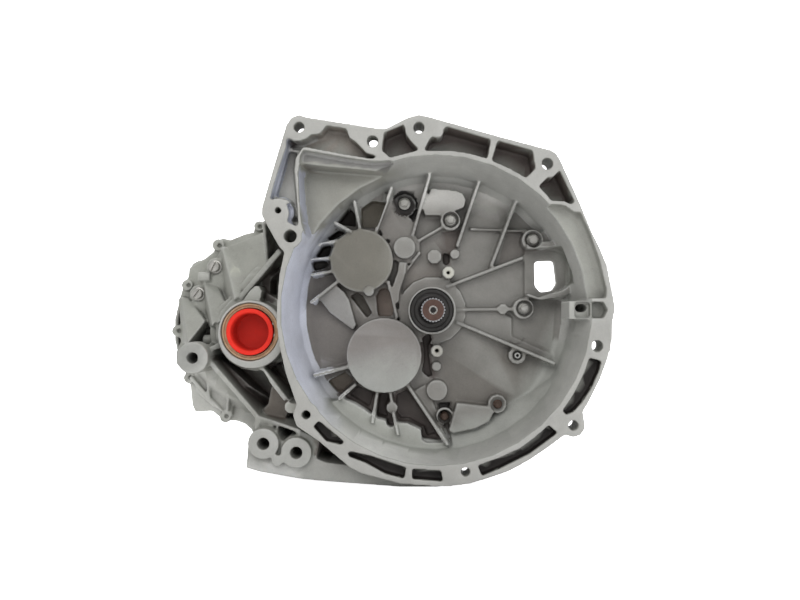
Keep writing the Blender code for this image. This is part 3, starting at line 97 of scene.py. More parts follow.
# ------------------------------------------------------------------ materials
def srgb(*channels):
    """Linear colour from sRGB values of 0 to 255."""
    shares = [v / 255.0 for v in channels]
    return tuple(v / 12.92 if v <= 0.04045 else ((v + 0.055) / 1.055) ** 2.4 for v in shares)


class Shader:
    """Short calls for the nodes of a material or a world."""

    def __init__(self, owner):
        owner.use_nodes = True
        self.owner = owner
        self.tree = owner.node_tree

    def feed(self, socket, value):
        if isinstance(value, bpy.types.NodeSocket):
            self.tree.links.new(value, socket)
        else:
            socket.default_value = (*value, 1.0) if isinstance(value, tuple) else value

    def node(self, kind, inputs={}, output=0, **settings):
        made = self.tree.nodes.new("ShaderNode" + kind)
        for key, value in settings.items():
            setattr(made, key, value)
        for key, value in inputs.items():
            self.feed(made.inputs[key], value)
        return made.outputs[output]

    def surface(self, inputs):
        principled = self.tree.nodes["Principled BSDF"]
        for key, value in inputs.items():
            self.feed(principled.inputs[key], value)

    def place(self):
        return self.node("Mapping", {"Vector": self.node("NewGeometry", output="Position")})

    def noise(self, place, scale, detail=4.0, rough=0.55):
        inputs = {"Vector": place, "Scale": scale, "Detail": detail, "Roughness": rough}
        return self.node("TexNoise", inputs, "Fac")

    def remap(self, value, to, span=(0.3, 0.7)):
        inputs = {"Value": value, "From Min": span[0], "From Max": span[1],
                  "To Min": to[0], "To Max": to[1]}
        return self.node("MapRange", inputs, "Result")

    def mix(self, factor, first, second, blend="MIX"):
        return self.node("Mix", {0: factor, 6: first, 7: second}, 2,
                         data_type="RGBA", blend_type=blend)

    def product(self, first, second):
        return self.node("Math", {0: first, 1: second}, operation="MULTIPLY")

    def darken(self, colour, value):
        grey = self.node("CombineColor", {0: value, 1: value, 2: value})
        return self.mix(1.0, colour, grey, "MULTIPLY")

    def bump(self, height, strength, distance, **normal):
        inputs = {"Height": height, "Strength": strength, "Distance": distance}
        return self.node("Bump", {**inputs, **normal}, "Normal")


def new_shader(name):
    return Shader(bpy.data.materials.new(name))


def cast_material(name, painted):
    """Blasted die casting. Its colour is the "tint" attribute, painted light and shade included, or
    one grey, broken up by noise; edges get a painted highlight, hollows and corners painted shade.
    """
    sh = new_shader(name)
    place = sh.place()
    if painted:
        colour = sh.node("Attribute", output="Color", attribute_name="tint")
    else:
        colour = sh.node("RGB")
        colour.default_value = (0.43, 0.43, 0.41, 1)
    # broad patches, grain and dark spots
    big = sh.remap(sh.noise(place, scale=24, detail=6, rough=0.62), to=(0.85, 1.09))
    fine = sh.remap(sh.noise(place, scale=620, detail=3, rough=0.6), to=(0.95, 1.04))
    spots = sh.remap(sh.noise(place, scale=140, detail=6, rough=0.7),
                     span=(0.60, 0.74), to=(1.0, 0.86))
    # painted highlight on the edges and painted shade in the hollows
    sharp = sh.node("NewGeometry", output="Pointiness")
    edge = sh.remap(sharp, span=(0.505, 0.56), to=(0.0, 0.42))
    hollow = sh.remap(sharp, span=(0.43, 0.495), to=(0.78, 1.0))
    colour = sh.darken(colour, sh.product(sh.product(sh.product(big, fine), spots), hollow))
    colour = sh.mix(edge, colour, (0.60, 0.60, 0.575))
    # soft shade in the wide corners and in the creases
    wide = sh.node("AmbientOcclusion", {"Distance": 0.055}, "AO", samples=6)
    near = sh.node("AmbientOcclusion", {"Distance": 0.010}, "AO", samples=4)
    shade = sh.product(sh.remap(wide, span=(0.10, 0.70), to=(0.64, 1.0)),
                       sh.remap(near, span=(0.25, 0.85), to=(0.72, 1.0)))
    grain = sh.bump(sh.noise(place, scale=900, detail=2, rough=0.6),
                    strength=0.22, distance=0.0005)
    sh.surface({
        "Base Color": sh.darken(colour, shade),
        "Metallic": 0.15,
        "Roughness": sh.remap(sh.noise(place, scale=60), to=(0.50, 0.66)),
        "Specular IOR Level": 0.45,
        "Normal": sh.bump(sh.noise(place, scale=180, detail=3, rough=0.5),
                          strength=0.14, distance=0.0012, Normal=grain)})
    return sh.owner


def metal(name, colour, rough, metallic=0.9, grain=500, dirt=0.12):
    """Metal with dirty patches and brighter edges; grain is the scale of its roughness."""
    sh = new_shader(name)
    place = sh.place()
    dirty = tuple(v * (1 - dirt * 2.4) for v in colour)
    bright = tuple(min(1, v * 1.6 + 0.06) for v in colour)
    patches = sh.remap(sh.noise(place, scale=90, detail=5, rough=0.6),
                       span=(0.35, 0.75), to=(0.0, 1.0))
    edge = sh.remap(sh.node("NewGeometry", output="Pointiness"), span=(0.5, 0.6), to=(0.0, 0.35))
    sh.surface({
        "Base Color": sh.mix(edge, sh.mix(patches, colour, dirty), bright),
        "Metallic": metallic,
        "Roughness": sh.remap(sh.noise(place, grain, detail=3), to=(rough * 0.8, rough * 1.25)),
        "Normal": sh.bump(sh.noise(place, grain, detail=2), strength=0.12, distance=0.0004)})
    return sh.owner


def plain(name, colour, rough, metallic=0.0, vary=0.12, relief=0.15):
    """One colour, varied both ways in patches."""
    sh = new_shader(name)
    place = sh.place()
    patches = sh.remap(sh.noise(place, scale=120, rough=0.6), to=(0.0, 1.0))
    dark = tuple(v * (1 - vary) for v in colour)
    light = tuple(min(1, v * (1 + vary)) for v in colour)
    sh.surface({
        "Base Color": sh.mix(patches, dark, light),
        "Metallic": metallic,
        "Roughness": sh.remap(sh.noise(place, scale=300, detail=3),
                              to=(rough * 0.85, rough * 1.15)),
        "Normal": sh.bump(sh.noise(place, scale=500, detail=2),
                          strength=relief, distance=0.0004)})
    return sh.owner


def paint_shade_inside(material, front, back, low):
    """Painted shade: darkens a material along +Y, from full colour at front to the share low at
    back.
    """
    sh = Shader(material)
    colour = sh.tree.nodes["Principled BSDF"].inputs["Base Color"].links[0].from_socket
    position = sh.node("NewGeometry", output="Position")
    depth = sh.node("SeparateXYZ", {0: position}, "Y")
    fade = sh.remap(depth, span=(front * MM, back * MM), to=(1.0, low))
    sh.surface({"Base Color": sh.darken(colour, fade)})


CAST = cast_material("cast_blasted", painted=True)
CAST_PLAIN = cast_material("cast_plain", painted=False)
STEEL = metal("steel_ground", (0.40, 0.40, 0.41), rough=0.32)
SHAFT = metal("steel_spline", (0.50, 0.48, 0.45), rough=0.28, metallic=0.95, grain=700, dirt=0.16)
BEARING = metal("bearing_race", (0.60, 0.61, 0.62), rough=0.2, metallic=1.0)
ZINC = metal("bolt_zinc", (0.46, 0.45, 0.42), rough=0.4, metallic=0.75, grain=400, dirt=0.2)
RUST = metal("bolt_rusty", (0.085, 0.052, 0.036), rough=0.7, metallic=0.3, grain=300, dirt=0.25)
SEAL = plain("seal_black", (0.022, 0.020, 0.018), rough=0.42)
BROWN = plain("seal_brown_rubber", srgb(176, 146, 116), rough=0.45, metallic=0.15, vary=0.22)
RED = plain("plug_red", (0.86, 0.040, 0.026), rough=0.55, vary=0.05, relief=0.06)
Shader(RED).surface({"Specular IOR Level": 0.12})
# painted shade deepening inside the plug's cup
paint_shade_inside(RED, front=27.0, back=36.0, low=0.55)
SHAFT_END = plain("shaft_end_brown", srgb(84, 62, 54), rough=0.55, metallic=0.35, vary=0.25,
                  relief=0.3)
# near black, painted as the shade inside a hole
HOLE_SHADE = plain("painted_hole_shade", (0.010, 0.008, 0.007), rough=0.8)
metal("seal_case_ring", srgb(150, 138, 120), rough=0.4, metallic=0.6, grain=400, dirt=0.2)
FORK = metal("fork_cast", (0.42, 0.36, 0.26), rough=0.45, metallic=0.8, grain=300, dirt=0.2)
BRASS = metal("switch_brass", (0.50, 0.42, 0.26), rough=0.4, metallic=0.8)


# ------------------------------------------------------------------ solids: (vertices, faces)
def tube_faces(count):
    """Two caps and the sides between two rings of count points."""
    caps = [tuple(range(count)), tuple(range(count, 2 * count))[::-1]]
    return caps + [(i, count + i, count + (i + 1) % count, (i + 1) % count)
                   for i in range(count)]


def loft_faces(count, rings):
    """Faces through a stack of rings of count points, with both ends capped."""
    faces = []
    for k in range(rings - 1):
        for i in range(count):
            j = (i + 1) % count
            faces.append((k * count + i, k * count + j, (k + 1) * count + j, (k + 1) * count + i))
    last = (rings - 1) * count
    return faces + [tuple(range(count))[::-1], tuple(range(last, last + count))]


def lathe(profile, centre, steps, axis="Y"):
    """Turned solid from a closed loop of (radius, place along the axis)."""
    verts, faces = [], []
    count = len(profile)
    for i in range(steps):
        angle = TAU * i / steps
        for radius, along in profile:
            first = centre[0] + radius * math.cos(angle)
            second = centre[1] + radius * math.sin(angle)
            verts.append((first, along, second) if axis == "Y" else (first, second, along))
    for i in range(steps):
        j = (i + 1) % steps
        for k in range(count):
            n = (k + 1) % count
            faces.append((i * count + k, i * count + n, j * count + n, j * count + k))
    return verts, faces


def rounded(profile, radius, steps=3):
    """Rounds every corner of a closed outline."""
    out = []
    count = len(profile)
    for i in range(count):
        before, corner, after = (np.array(profile[(i + k) % count], float) for k in (-1, 0, 1))
        back, ahead = before - corner, after - corner
        back_length, ahead_length = np.linalg.norm(back), np.linalg.norm(ahead)
        if back_length < 1e-6 or ahead_length < 1e-6:
            continue
        reach = min(radius, back_length * 0.42, ahead_length * 0.42)
        start = corner + back / back_length * reach
        end = corner + ahead / ahead_length * reach
        for s in range(steps + 1):
            t = s / steps
            out.append(tuple((1 - t) ** 2 * start + 2 * t * (1 - t) * corner + t * t * end))
    return out


def turned(profile, radius, centre, steps, axis="Y"):
    return lathe(rounded(profile, radius), centre, steps, axis)


def join(*solids):
    verts, faces = [], []
    for more_verts, more_faces in solids:
        base = len(verts)
        verts += list(more_verts)
        faces += [tuple(i + base for i in face) for face in more_faces]
    return verts, faces


def prism(front, back, y0, y1):
    verts = [(x, y0, z) for x, z in front] + [(x, y1, z) for x, z in back]
    return verts, tube_faces(len(front))


def carried(outline, y):
    return [carry(x, z, y) for x, z in outline]


def slab(outline, y0, y1):
    """A straight prism; its outline is given on the engine face and carried to y0."""
    points = carried(outline, y0)
    return prism(points, points, y0, y1)


def disc(centre, radius, y0, y1, steps):
    ring = [(centre[0] + radius * math.cos(TAU * i / steps),
             centre[1] + radius * math.sin(TAU * i / steps)) for i in range(steps)]
    return prism(ring, ring, y0, y1)


def boss(x, z, radius, y0, y1, steps):
    """A disc whose centre and radius are given on the engine face and carried to y0."""
    return disc(carry(x, z, y0), radius * (1 + y0 / EYE_D), y0, y1, steps)


def peg(x, z, x_end, radius, y, steps):
    """A round peg lying along X, its axis at depth y."""
    radius *= 1 + y / EYE_D
    start_x, axis_z = carry(x, z, y)
    end_x = carry(x_end, z, y)[0]
    ring = [(y + radius * math.cos(TAU * i / steps), axis_z + radius * math.sin(TAU * i / steps))
            for i in range(steps)]
    return [(x, *point) for x in (start_x, end_x) for point in ring], tube_faces(steps)


def rib(start, end, thick, start_y, end_y, back_y, draft=0.6):
    """A bar whose front edge runs from start to end and whose sides spread by draft."""
    (start_x, start_z), (end_x, end_z) = carry(*start, start_y), carry(*end, end_y)
    length = math.hypot(end_x - start_x, end_z - start_z)
    side_x, side_z = -(end_z - start_z) / length, (end_x - start_x) / length

    def outline(half, y_a, y_b):
        return [(start_x + side_x * half, y_a, start_z + side_z * half),
                (end_x + side_x * half, y_b, end_z + side_z * half),
                (end_x - side_x * half, y_b, end_z - side_z * half),
                (start_x - side_x * half, y_a, start_z - side_z * half)]

    verts = outline(thick / 2, start_y, end_y) + outline(thick / 2 + draft, back_y, back_y)
    return verts, [(0, 1, 2, 3), (7, 6, 5, 4), (0, 4, 5, 1), (1, 5, 6, 2), (2, 6, 7, 3),
                   (3, 7, 4, 0)]


def chain(points, thick, y, draft, radius, steps):
    """A bent rib: straight ribs, each ending in a small disc."""
    return [solid for start, end in zip(points, points[1:])
            for solid in (rib(start, end, thick, y, y, 76, draft),
                          boss(*end, radius, y, 76, steps))]


def facets(points, tris, back_y):
    """A block with a faceted front. Each (x, z, depth) is carried to its depth and then
    straight back to back_y."""
    top = [(*carry(x, z, y), y) for x, z, y in points]
    count = len(top)
    verts = [(x, y, z) for x, z, y in top] + [(x, back_y, z) for x, z, y in top]

    def one_way(tri):
        a, b, c = (np.array(top[i][:2]) for i in tri)
        (u, v), (s, t) = b - a, c - a
        return tri if u * t - v * s > 0 else tri[::-1]

    tris = [one_way(tri) for tri in tris]
    rim = {}
    for tri in tris:
        for a, b in zip(tri, tri[1:] + tri[:1]):
            if (b, a) in rim:
                del rim[(b, a)]
            else:
                rim[(a, b)] = 1
    backs = [tuple(count + i for i in tri)[::-1] for tri in tris]
    return verts, tris + backs + [(b, a, count + a, count + b) for a, b in rim]


# ------------------------------------------------------------------ objects
def new_object(name, solid, split=False):
    """A linked object in metres with its normals outwards; split cuts up the many-sided faces."""
    verts, faces = solid
    mesh = bpy.data.meshes.new(name)
    mesh.from_pydata([(x * MM, y * MM, z * MM) for x, y, z in verts], [],
                     [tuple(face) for face in faces])
    bm = bmesh.new()
    bm.from_mesh(mesh)
    if split:
        bmesh.ops.triangulate(bm, faces=[f for f in bm.faces if len(f.verts) > 4])
    bmesh.ops.recalc_face_normals(bm, faces=bm.faces)
    if bm.calc_volume(signed=True) < 0:
        bmesh.ops.reverse_faces(bm, faces=bm.faces)
    bm.to_mesh(mesh)
    bm.free()
    return link(name, mesh)


def link(name, data):
    obj = bpy.data.objects.new(name, data)
    bpy.context.scene.collection.objects.link(obj)
    return obj


def piece(name, solid, material, slot, *nodes, body="housing", smooth=35):
    obj = new_object(name, solid)
    obj.data.materials.append(material)
    obj.data.shade_smooth()
    obj.data.set_sharp_from_angle(angle=math.radians(smooth))
    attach(obj, body)
    if nodes:
        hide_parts(*nodes)


def apply_modifiers(obj):
    graph = bpy.context.evaluated_depsgraph_get()
    mesh = bpy.data.meshes.new_from_object(obj.evaluated_get(graph))
    obj.modifiers.clear()
    obj.data = mesh


def boolean(obj, solid, operation):
    tool = new_object("tool", solid, split=True)
    step = obj.modifiers.new("b", "BOOLEAN")
    step.operation, step.solver, step.object = operation, "MANIFOLD", tool
    old, tool_mesh = obj.data, tool.data
    apply_modifiers(obj)
    bpy.data.meshes.remove(old)
    bpy.data.objects.remove(tool)
    bpy.data.meshes.remove(tool_mesh)


def keep_largest_island(bm):
    """Drops the stray islands left by the remesh."""
    seen, islands = set(), []
    for vert in bm.verts:
        if vert.index in seen:
            continue
        stack, island = [vert], []
        seen.add(vert.index)
        while stack:
            here = stack.pop()
            island.append(here)
            for edge in here.link_edges:
                other = edge.other_vert(here)
                if other.index not in seen:
                    seen.add(other.index)
                    stack.append(other)
        islands.append(island)
    largest = max(islands, key=len)
    for island in islands:
        if island is not largest:
            bmesh.ops.delete(bm, geom=island, context="VERTS")


def paint(obj, tints):
    """Writes the "tint" attribute of tones, painted light and painted shade. tints gives (mask,
    sRGB colour) layers from the vertices' places in millimetres and their normals; later layers
    cover earlier ones."""
    mesh = obj.data
    count = len(mesh.vertices)
    places = np.empty(count * 3, np.float32)
    mesh.vertices.foreach_get("co", places)
    normals = np.empty(count * 3, np.float32)
    mesh.vertex_normals.foreach_get("vector", normals)
    rgb = np.empty((count, 4), np.float32)
    rgb[:, :3] = srgb(160, 160, 153)
    rgb[:, 3] = 1
    for mask, colour in tints(places.reshape(-1, 3) / MM, normals.reshape(-1, 3)):
        share = np.clip(mask * 1.0, 0, 1)[:, None]
        rgb[:, :3] = rgb[:, :3] * (1 - share) + np.array(srgb(*colour), np.float32) * share
    mesh.color_attributes.new("tint", "FLOAT_COLOR", "POINT").data.foreach_set("color", rgb.ravel())


def casting(name, node, voxel, most, tints, steps=()):
    """A CAD casting with detail joined and cut, then remeshed so that every edge is rounded.
    voxel is in metres, most is the greatest number of triangles."""
    mesh = NODES[node].data.copy()
    bm = bmesh.new()
    bm.from_mesh(mesh)
    bmesh.ops.remove_doubles(bm, verts=bm.verts, dist=1e-6)
    bm.to_mesh(mesh)
    bm.free()
    obj = link(name, mesh)
    for operation, solids in steps:
        for solid in solids:
            boolean(obj, solid, operation)
    remesh = obj.modifiers.new("r", "REMESH")
    remesh.mode, remesh.voxel_size, remesh.adaptivity = "VOXEL", voxel, 0.0
    smooth = obj.modifiers.new("s", "SMOOTH")
    smooth.factor, smooth.iterations = 0.5, 4
    apply_modifiers(obj)
    triangles = len(obj.data.polygons) * 2
    if triangles > most:
        obj.modifiers.new("d", "DECIMATE").ratio = most / triangles
        apply_modifiers(obj)
    bm = bmesh.new()
    bm.from_mesh(obj.data)
    bmesh.ops.dissolve_degenerate(bm, dist=1e-6, edges=bm.edges)
    keep_largest_island(bm)
    bm.to_mesh(obj.data)
    bm.free()
    obj.data.materials.clear()
    obj.data.materials.append(CAST)
    obj.data.shade_smooth()
    paint(obj, tints)
    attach(obj, "housing")
    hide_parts(node)


# ------------------------------------------------------------------ outlines
# Closed loops of (x, z) on the engine face, as seen from the eye.
# slots in the flange, painted dark as their shade, lower left round to lower right
SLOTS = [
    [(-120.2, -117), (-114.7, -111), (-89.2, -132), (-92.2, -135), (-107.2, -131.5)],
    [(-86.2, -143), (-82.2, -142), (-63.2, -146), (-48.2, -151), (-27.2, -158), (-29.2, -169),
     (-48.2, -164), (-68.2, -153), (-84.2, -147)],
    [(-21.2, -159), (7.8, -161.5), (9.8, -172), (-21.2, -169.5)],
    [(44.8, -156), (66.8, -148), (86.8, -139), (101.8, -128), (115.8, -115.5), (124.8, -123),
     (111.8, -133), (96.8, -144), (66.8, -159), (48.8, -166.5)],
    [(129.8, -101), (138.8, -88), (146.8, -73), (152.8, -60), (156.8, -48), (168.8, -51),
     (166.8, -60), (158.8, -78), (149.8, -92), (140.8, -102), (133.8, -105)],
]
# pockets in the top of the flange, painted darker as their shade, left to right
POCKETS = [
    [(-49.2, 178), (-29.2, 186), (-27.2, 176), (-21.2, 168), (-15.2, 162), (-16.2, 160),
     (-43.2, 153), (-51.2, 160)],
    [(13.8, 184), (57.8, 171), (54.3, 152), (36.8, 157), (16.8, 160), (-9.2, 160), (-3.2, 172)],
    [(64.8, 170), (99.8, 160), (100.8, 152), (102.8, 142), (95.8, 135), (92.8, 133), (76.8, 142),
     (58.8, 150)],
    [(126.8, 140), (141.8, 109), (138.8, 106), (131.8, 109), (118.8, 110), (106.3, 124),
     (107.8, 126), (114.8, 133), (119.8, 133)],
]
# hollows outside the bell on the left, painted dark as their shade: depth where the painted shade
# begins, outline
HOLLOWS = [
    (38.0, [(-224.2, -41), (-214.2, -38.5), (-207.2, -44), (-197.2, -54), (-183.2, -60),
            (-171.2, -61.5), (-162.2, -76), (-158.2, -82), (-163.2, -90), (-165.2, -101),
            (-171.2, -98), (-183.2, -87), (-224.2, -49)]),
    (38.0, [(-171.2, -55), (-161.2, -52), (-152.2, -52), (-147.2, -64), (-137.2, -86),
            (-133.2, -92), (-139.2, -91), (-145.2, -86)]),
    (34.0, [(-151.2, 58), (-154.2, 51), (-156.7, 33), (-158.2, 10), (-160.2, 6), (-167.2, 10),
            (-171.2, 13), (-171.2, 31)]),
    (30.0, [(-158.2, -118), (-141.2, -122), (-135.2, -126), (-145.2, -127.5), (-152.2, -133),
            (-156.2, -126)]),
    (20.0, [(-168.2, 89), (-154.2, 63), (-161.2, 53), (-164.2, 60), (-167.2, 74)]),
    (54.0, [(-150.2, 60), (-171.2, 31), (-171.2, 10), (-157.2, 5), (-156.2, 30)]),
    (104.0, [(-237.2, 0), (-228.2, -8), (-214.2, -23), (-220.2, -24), (-229.2, -15)]),
]
# openings in the bell's back wall: sRGB colour painted within as the shade and light there, outline
OPENINGS = [
    ((66, 59, 55), [(-96.2, 86), (-83.2, 102), (-78.2, 96), (-77.2, 83)]),
    ((74, 66, 62), [(-108.2, 70), (-95.2, 79), (-86.2, 78), (-100.2, 70)]),
    ((66, 60, 55), [(-118.2, 52), (-111.2, 63), (-101.2, 65), (-104.2, 54)]),
    ((100, 96, 90), [(-121.2, 48), (-107.2, 49), (-104.2, 46), (-108.2, 42), (-119.2, 39)]),
    ((150, 143, 130), [(-72.2, 101), (-61.2, 109), (-45.2, 107), (-55.2, 82), (-71.2, 82)]),
    ((126, 120, 112), [(-83.2, 14), (-76.2, 18), (-70.2, 14), (-61.2, -3), (-66.2, -8)]),
    ((152, 138, 128), [(-57.2, 14), (-53.2, 21), (-47.2, 22), (-43.2, 18), (-39.2, 0),
                       (-41.2, -6), (-55.2, -6)]),
    ((180, 168, 155), [(-105.2, -71), (-88.2, -62), (-79.2, -70), (-91.2, -82), (-97.2, -81)]),
]
# upper left of the flange: recess, channel down its side, dish, ledge and the band below it
RECESS = [
    (-146.2, 170), (-140.2, 169.5), (-132.2, 170), (-126.2, 172.5), (-122.2, 176),
    (-116.2, 176.5), (-112.2, 178), (-107.2, 185), (-87.2, 182), (-84.2, 173), (-78.2, 169),
    (-72.2, 163), (-67.2, 157.5), (-59.2, 155), (-49.2, 152), (-63.2, 152), (-93.2, 157),
    (-130.2, 164), (-143.2, 164)]
CHANNEL = [
    (-146.7, 172.5), (-142.7, 171.5), (-139.2, 169), (-133.2, 167.5), (-126.2, 169.5),
    (-121.2, 173), (-115.2, 174), (-115.2, 169), (-130.2, 163), (-136.2, 157), (-139.2, 149),
    (-139.7, 138), (-137.2, 110), (-135.7, 84), (-142.2, 86), (-139.2, 95), (-140.7, 104),
    (-146.2, 110.5), (-155.2, 112.5), (-163.7, 110.5), (-160.2, 124), (-152.2, 149),
    (-147.2, 164)]
DISH = [
    (-133.2, 149), (-88.2, 144), (-61.2, 141), (-41.2, 139), (-43.2, 129), (-81.2, 112),
    (-111.2, 78), (-128.2, 74), (-132.2, 88), (-134.2, 112), (-135.2, 138)]
LEDGE = [
    (-130.2, 160.5), (-88.2, 153), (-61.2, 149), (-49.2, 149), (-42.2, 150), (-37.2, 142),
    (-41.2, 138), (-61.2, 139.5), (-88.2, 142.5), (-134.2, 147.5), (-133.2, 155)]
LOW_BAND = [
    (-130.2, 157.5), (-88.2, 150), (-61.2, 146.5), (-41.2, 148), (-35.2, 140), (-61.2, 139),
    (-88.2, 142), (-131.2, 148)]
# window through the back wall on the right, and its recess
WINDOW = [
    (100.8, 47), (102.8, 48.5), (117.8, 49), (119.8, 47), (122.3, 26), (117.8, 19),
    (106.8, 17.5), (101.3, 24)]
WINDOW_RECESS = [
    (93.8, 62), (126.8, 65), (142.8, 58), (143.8, 29), (132.8, 20), (107.8, 13), (93.8, 18)]
PANEL = [
    (-113.2, 10), (-96.2, 24), (-89.2, 18), (-84.2, 10), (-77.2, -15), (-80.2, -20),
    (-103.2, -3)]
# low ground between the wedges outside, on the left
LEFT_BULGE = [
    (-209.2, 61), (-187.2, 69), (-171.2, 72), (-166.2, 48), (-178.2, 38), (-185.2, 28),
    (-193.2, 18), (-200.2, 11), (-207.2, 5), (-214.2, -4), (-217.7, -15), (-217.7, -26),
    (-216.2, -34), (-226.2, -40), (-234.2, -31), (-245.2, -32), (-250.2, -22), (-250.2, 10),
    (-243.2, 26), (-230.2, 42), (-220.2, 54)]
# upper edge of the ledge under the lower disc, left to right (an open line)
FOOT_EDGE = [
    (-90.2, -89), (-78.2, -94), (-64.2, -103), (-59.2, -108), (-47.2, -111), (-46.2, -116),
    (-41.2, -118), (-34.2, -113), (-26.2, -113), (-12.2, -120), (-11.2, -130), (-7.2, -133),
    (13.8, -133)]
# strip on the right that opens into the bell, at its front and at its back
STRIP_FRONT = [
    (118.8, 106), (131.8, 105), (141.8, 98), (147.8, 98), (156.8, 78), (166.8, 50),
    (174.3, 12), (136.8, 12), (126.8, 60), (106.8, 100)]
STRIP_BACK = [
    (114.8, 104), (126.8, 101), (136.8, 93), (143.8, 88), (152.8, 68), (162.8, 40),
    (168.8, 12), (136.8, 12), (126.8, 60), (104.8, 95)]

# ------------------------------------------------------------------ shared places (x, z)
UPPER_DISC, LOWER_DISC = (-71.7, 49.5), (-49.2, -45.5)
TOP_HOLLOW = (-28.7, 106)
SLEEVE = carry(84.3, -45.5, 60)
RAMP_CENTRE = (1.2, -0.7)
PORT_LEFT, PORT_LOW, PORT_LOW_RIGHT, FLANGE_BOSS = (
    (-241.2, -48), (-170.2, -134), (-137.2, -143), (-127.2, -105))
SMALL_RIGHT, SMALL_TOP, SMALL_WINDOW = (90.3, 1.5), (17.3, 89.5), (99.3, 70)
LOW_BOSS = (11.3, -106)
SPOT = (-64.2, 19)
# lugs round the outside on the left: x, z, radius
LUGS = [(-215.2, 65, 6.0), (-246.2, 25, 5.6), (-255.7, -21, 5.8), (-244.2, -68, 5.6),
        (-208.2, -107, 5.6), (-174.2, 84, 5.2)]


def ramp():
    """The slope from the back wall up to the bell wall, lower right."""
    inner = [(16.8, -120), (40.8, -115), (53.8, -107), (63.8, -100), (80.8, -92), (97.8, -82),
             (113.8, -67), (122.8, -55), (127.8, -40)]
    centre_x, centre_z = RAMP_CENTRE
    points = [(x, z, 70.0) for x, z in inner]
    for x, z in inner:
        scale = math.hypot(x - centre_x, z - centre_z)
        points.append((centre_x + (x - centre_x) / scale * 141.0,
                       centre_z + (z - centre_z) / scale * 141.0, 47.0))
    n = len(inner)
    return facets(points, [tri for i in range(n - 1)
                           for tri in ((i, i + 1, n + i + 1), (i, n + i + 1, n + i))], 77)


# ------------------------------------------------------------------ detail joined to the housing
HOUSING_ADD = [
    # fillet at the foot of the bell wall
    lathe([(151.5, 50), (148.6, 62), (142, 70), (134, 74), (152, 76)], BELL, 120),
    slab(PANEL, 62, 76),
    boss(3.8, 179, 6.5, 0.0, 22, 28),
    # two bent ribs left of the shaft
    *chain([(-30.2, 48), (-31.2, 39), (-34.2, 30), (-37.2, 21), (-38.2, 11)],
           8.6, 62, 1.2, 4.2, 28),
    *chain([(-20.2, 48), (-26.2, 40), (-31.2, 29), (-33.2, 17), (-32.2, 4), (-28.2, -6)],
           1.8, 66, 0.8, 0.9, 12),
    rib((-21.2, 48), (-13.2, 58), 3.0, 64, 62, 76),
    rib((36.8, 81), (93.8, 79), 2.6, 66, 66, 76),
    rib((14.8, -145), (15.8, -132), 2.6, 40, 62, 76),
    boss(*SPOT, 5.2, 56.5, 76, 24),
    boss(-41.2, -98, 5.7, 58, 76, 24),
    boss(*LOW_BOSS, 8.5, 62, 76, 28),
    *(rib(FOOT_EDGE[i], FOOT_EDGE[j], 2.6, 60, 60, 76)
      for i, j in ((0, 1), (1, 2), (3, 4), (8, 9), (10, 12))),
    # raised areas of the back wall
    slab([(-49.2, 117), (-40.2, 114), (-34.2, 96), (-22.2, 92), (-18.2, 84), (-22.2, 70),
          (-37.2, 68), (-49.2, 72), (-53.2, 80)], 66, 76),
    slab([(22.8, -4), (66.8, -2), (78.8, -8), (78.8, -26), (122.8, -46), (122.8, -54),
          (24.8, -14)], 69, 76),
    slab([(-21.2, -82), (-7.2, -74), (-1.2, -90), (16.8, -130), (8.8, -134)], 68, 76),
    # pegs, pad and ribs outside, on the left
    peg(-234.2, 33, -222.2, 5.0, 84, 28),
    peg(-229.2, -30, -214.2, 5.4, 70, 28),
    slab([(-240.2, -64), (-226.2, -60), (-199.2, -80), (-201.2, -106), (-221.2, -96),
          (-237.2, -82)], 93, 104),
    rib((-226.2, -71), (-224.2, -89), 2.6, 88, 88, 104, 1.0),
    rib((-205.2, -79), (-206.2, -102), 3.0, 84, 86, 104, 1.0),
    rib((-228.2, -64), (-205.2, -79), 2.8, 84, 84, 104, 1.0),
    rib((-243.2, -68), (-211.2, -101), 2.4, 88, 90, 104, 1.0),
    slab([(-176.2, -105), (-154.2, -114), (-158.2, -120), (-165.2, -120), (-177.2, -128),
          (-182.2, -120)], 34, 96),
    # round faces with finer facets than the CAD's: centre, radius, front, back
    *(boss(*centre, radius, front, back, 96) for centre, radius, front, back in (
        ((-181.7, -24.5), 34, 26, 92), (PORT_LEFT, 16, 20, 100), (PORT_LOW, 15.5, 16, 96),
        (PORT_LOW_RIGHT, 15.5, 16, 96), ((-1.0, -0.5), 24, 48, 88), (SMALL_TOP, 10, 60, 76),
        (SMALL_RIGHT, 10.5, 60, 76), (SMALL_WINDOW, 10.5, 56, 76), ((-28.7, 62.5), 11, 58, 76),
        ((3.8, -80.5), 10.5, 62, 76), (FLANGE_BOSS, 13, 0.0, 29), (UPPER_DISC, 31.5, 58, 76),
        (LOWER_DISC, 37.5, 56, 76))),
    # ledge under the lower disc
    slab(FOOT_EDGE + [(13.8, -143), (-13.2, -143), (-33.2, -139), (-53.2, -133), (-73.2, -123),
                      (-91.2, -108), (-103.2, -92)], 52, 76),
    # block on the right and the slope below it
    slab([(135.8, 9), (158.8, 9), (158.8, -9), (135.8, -9)], 5, 40),
    facets([(143.8, -10, 31), (158.8, -10, 0), (156.8, -24, 2), (139.8, -24, 36)],
           [(0, 1, 2), (0, 2, 3)], 60),
    # pads above and round the window
    slab([(102.8, 77), (124.8, 80), (126.8, 63), (102.8, 63)], 58, 76),
    slab([(91.8, 57), (131.8, 57), (131.8, 11), (91.8, 11)], 66, 84),
    ramp(),
]

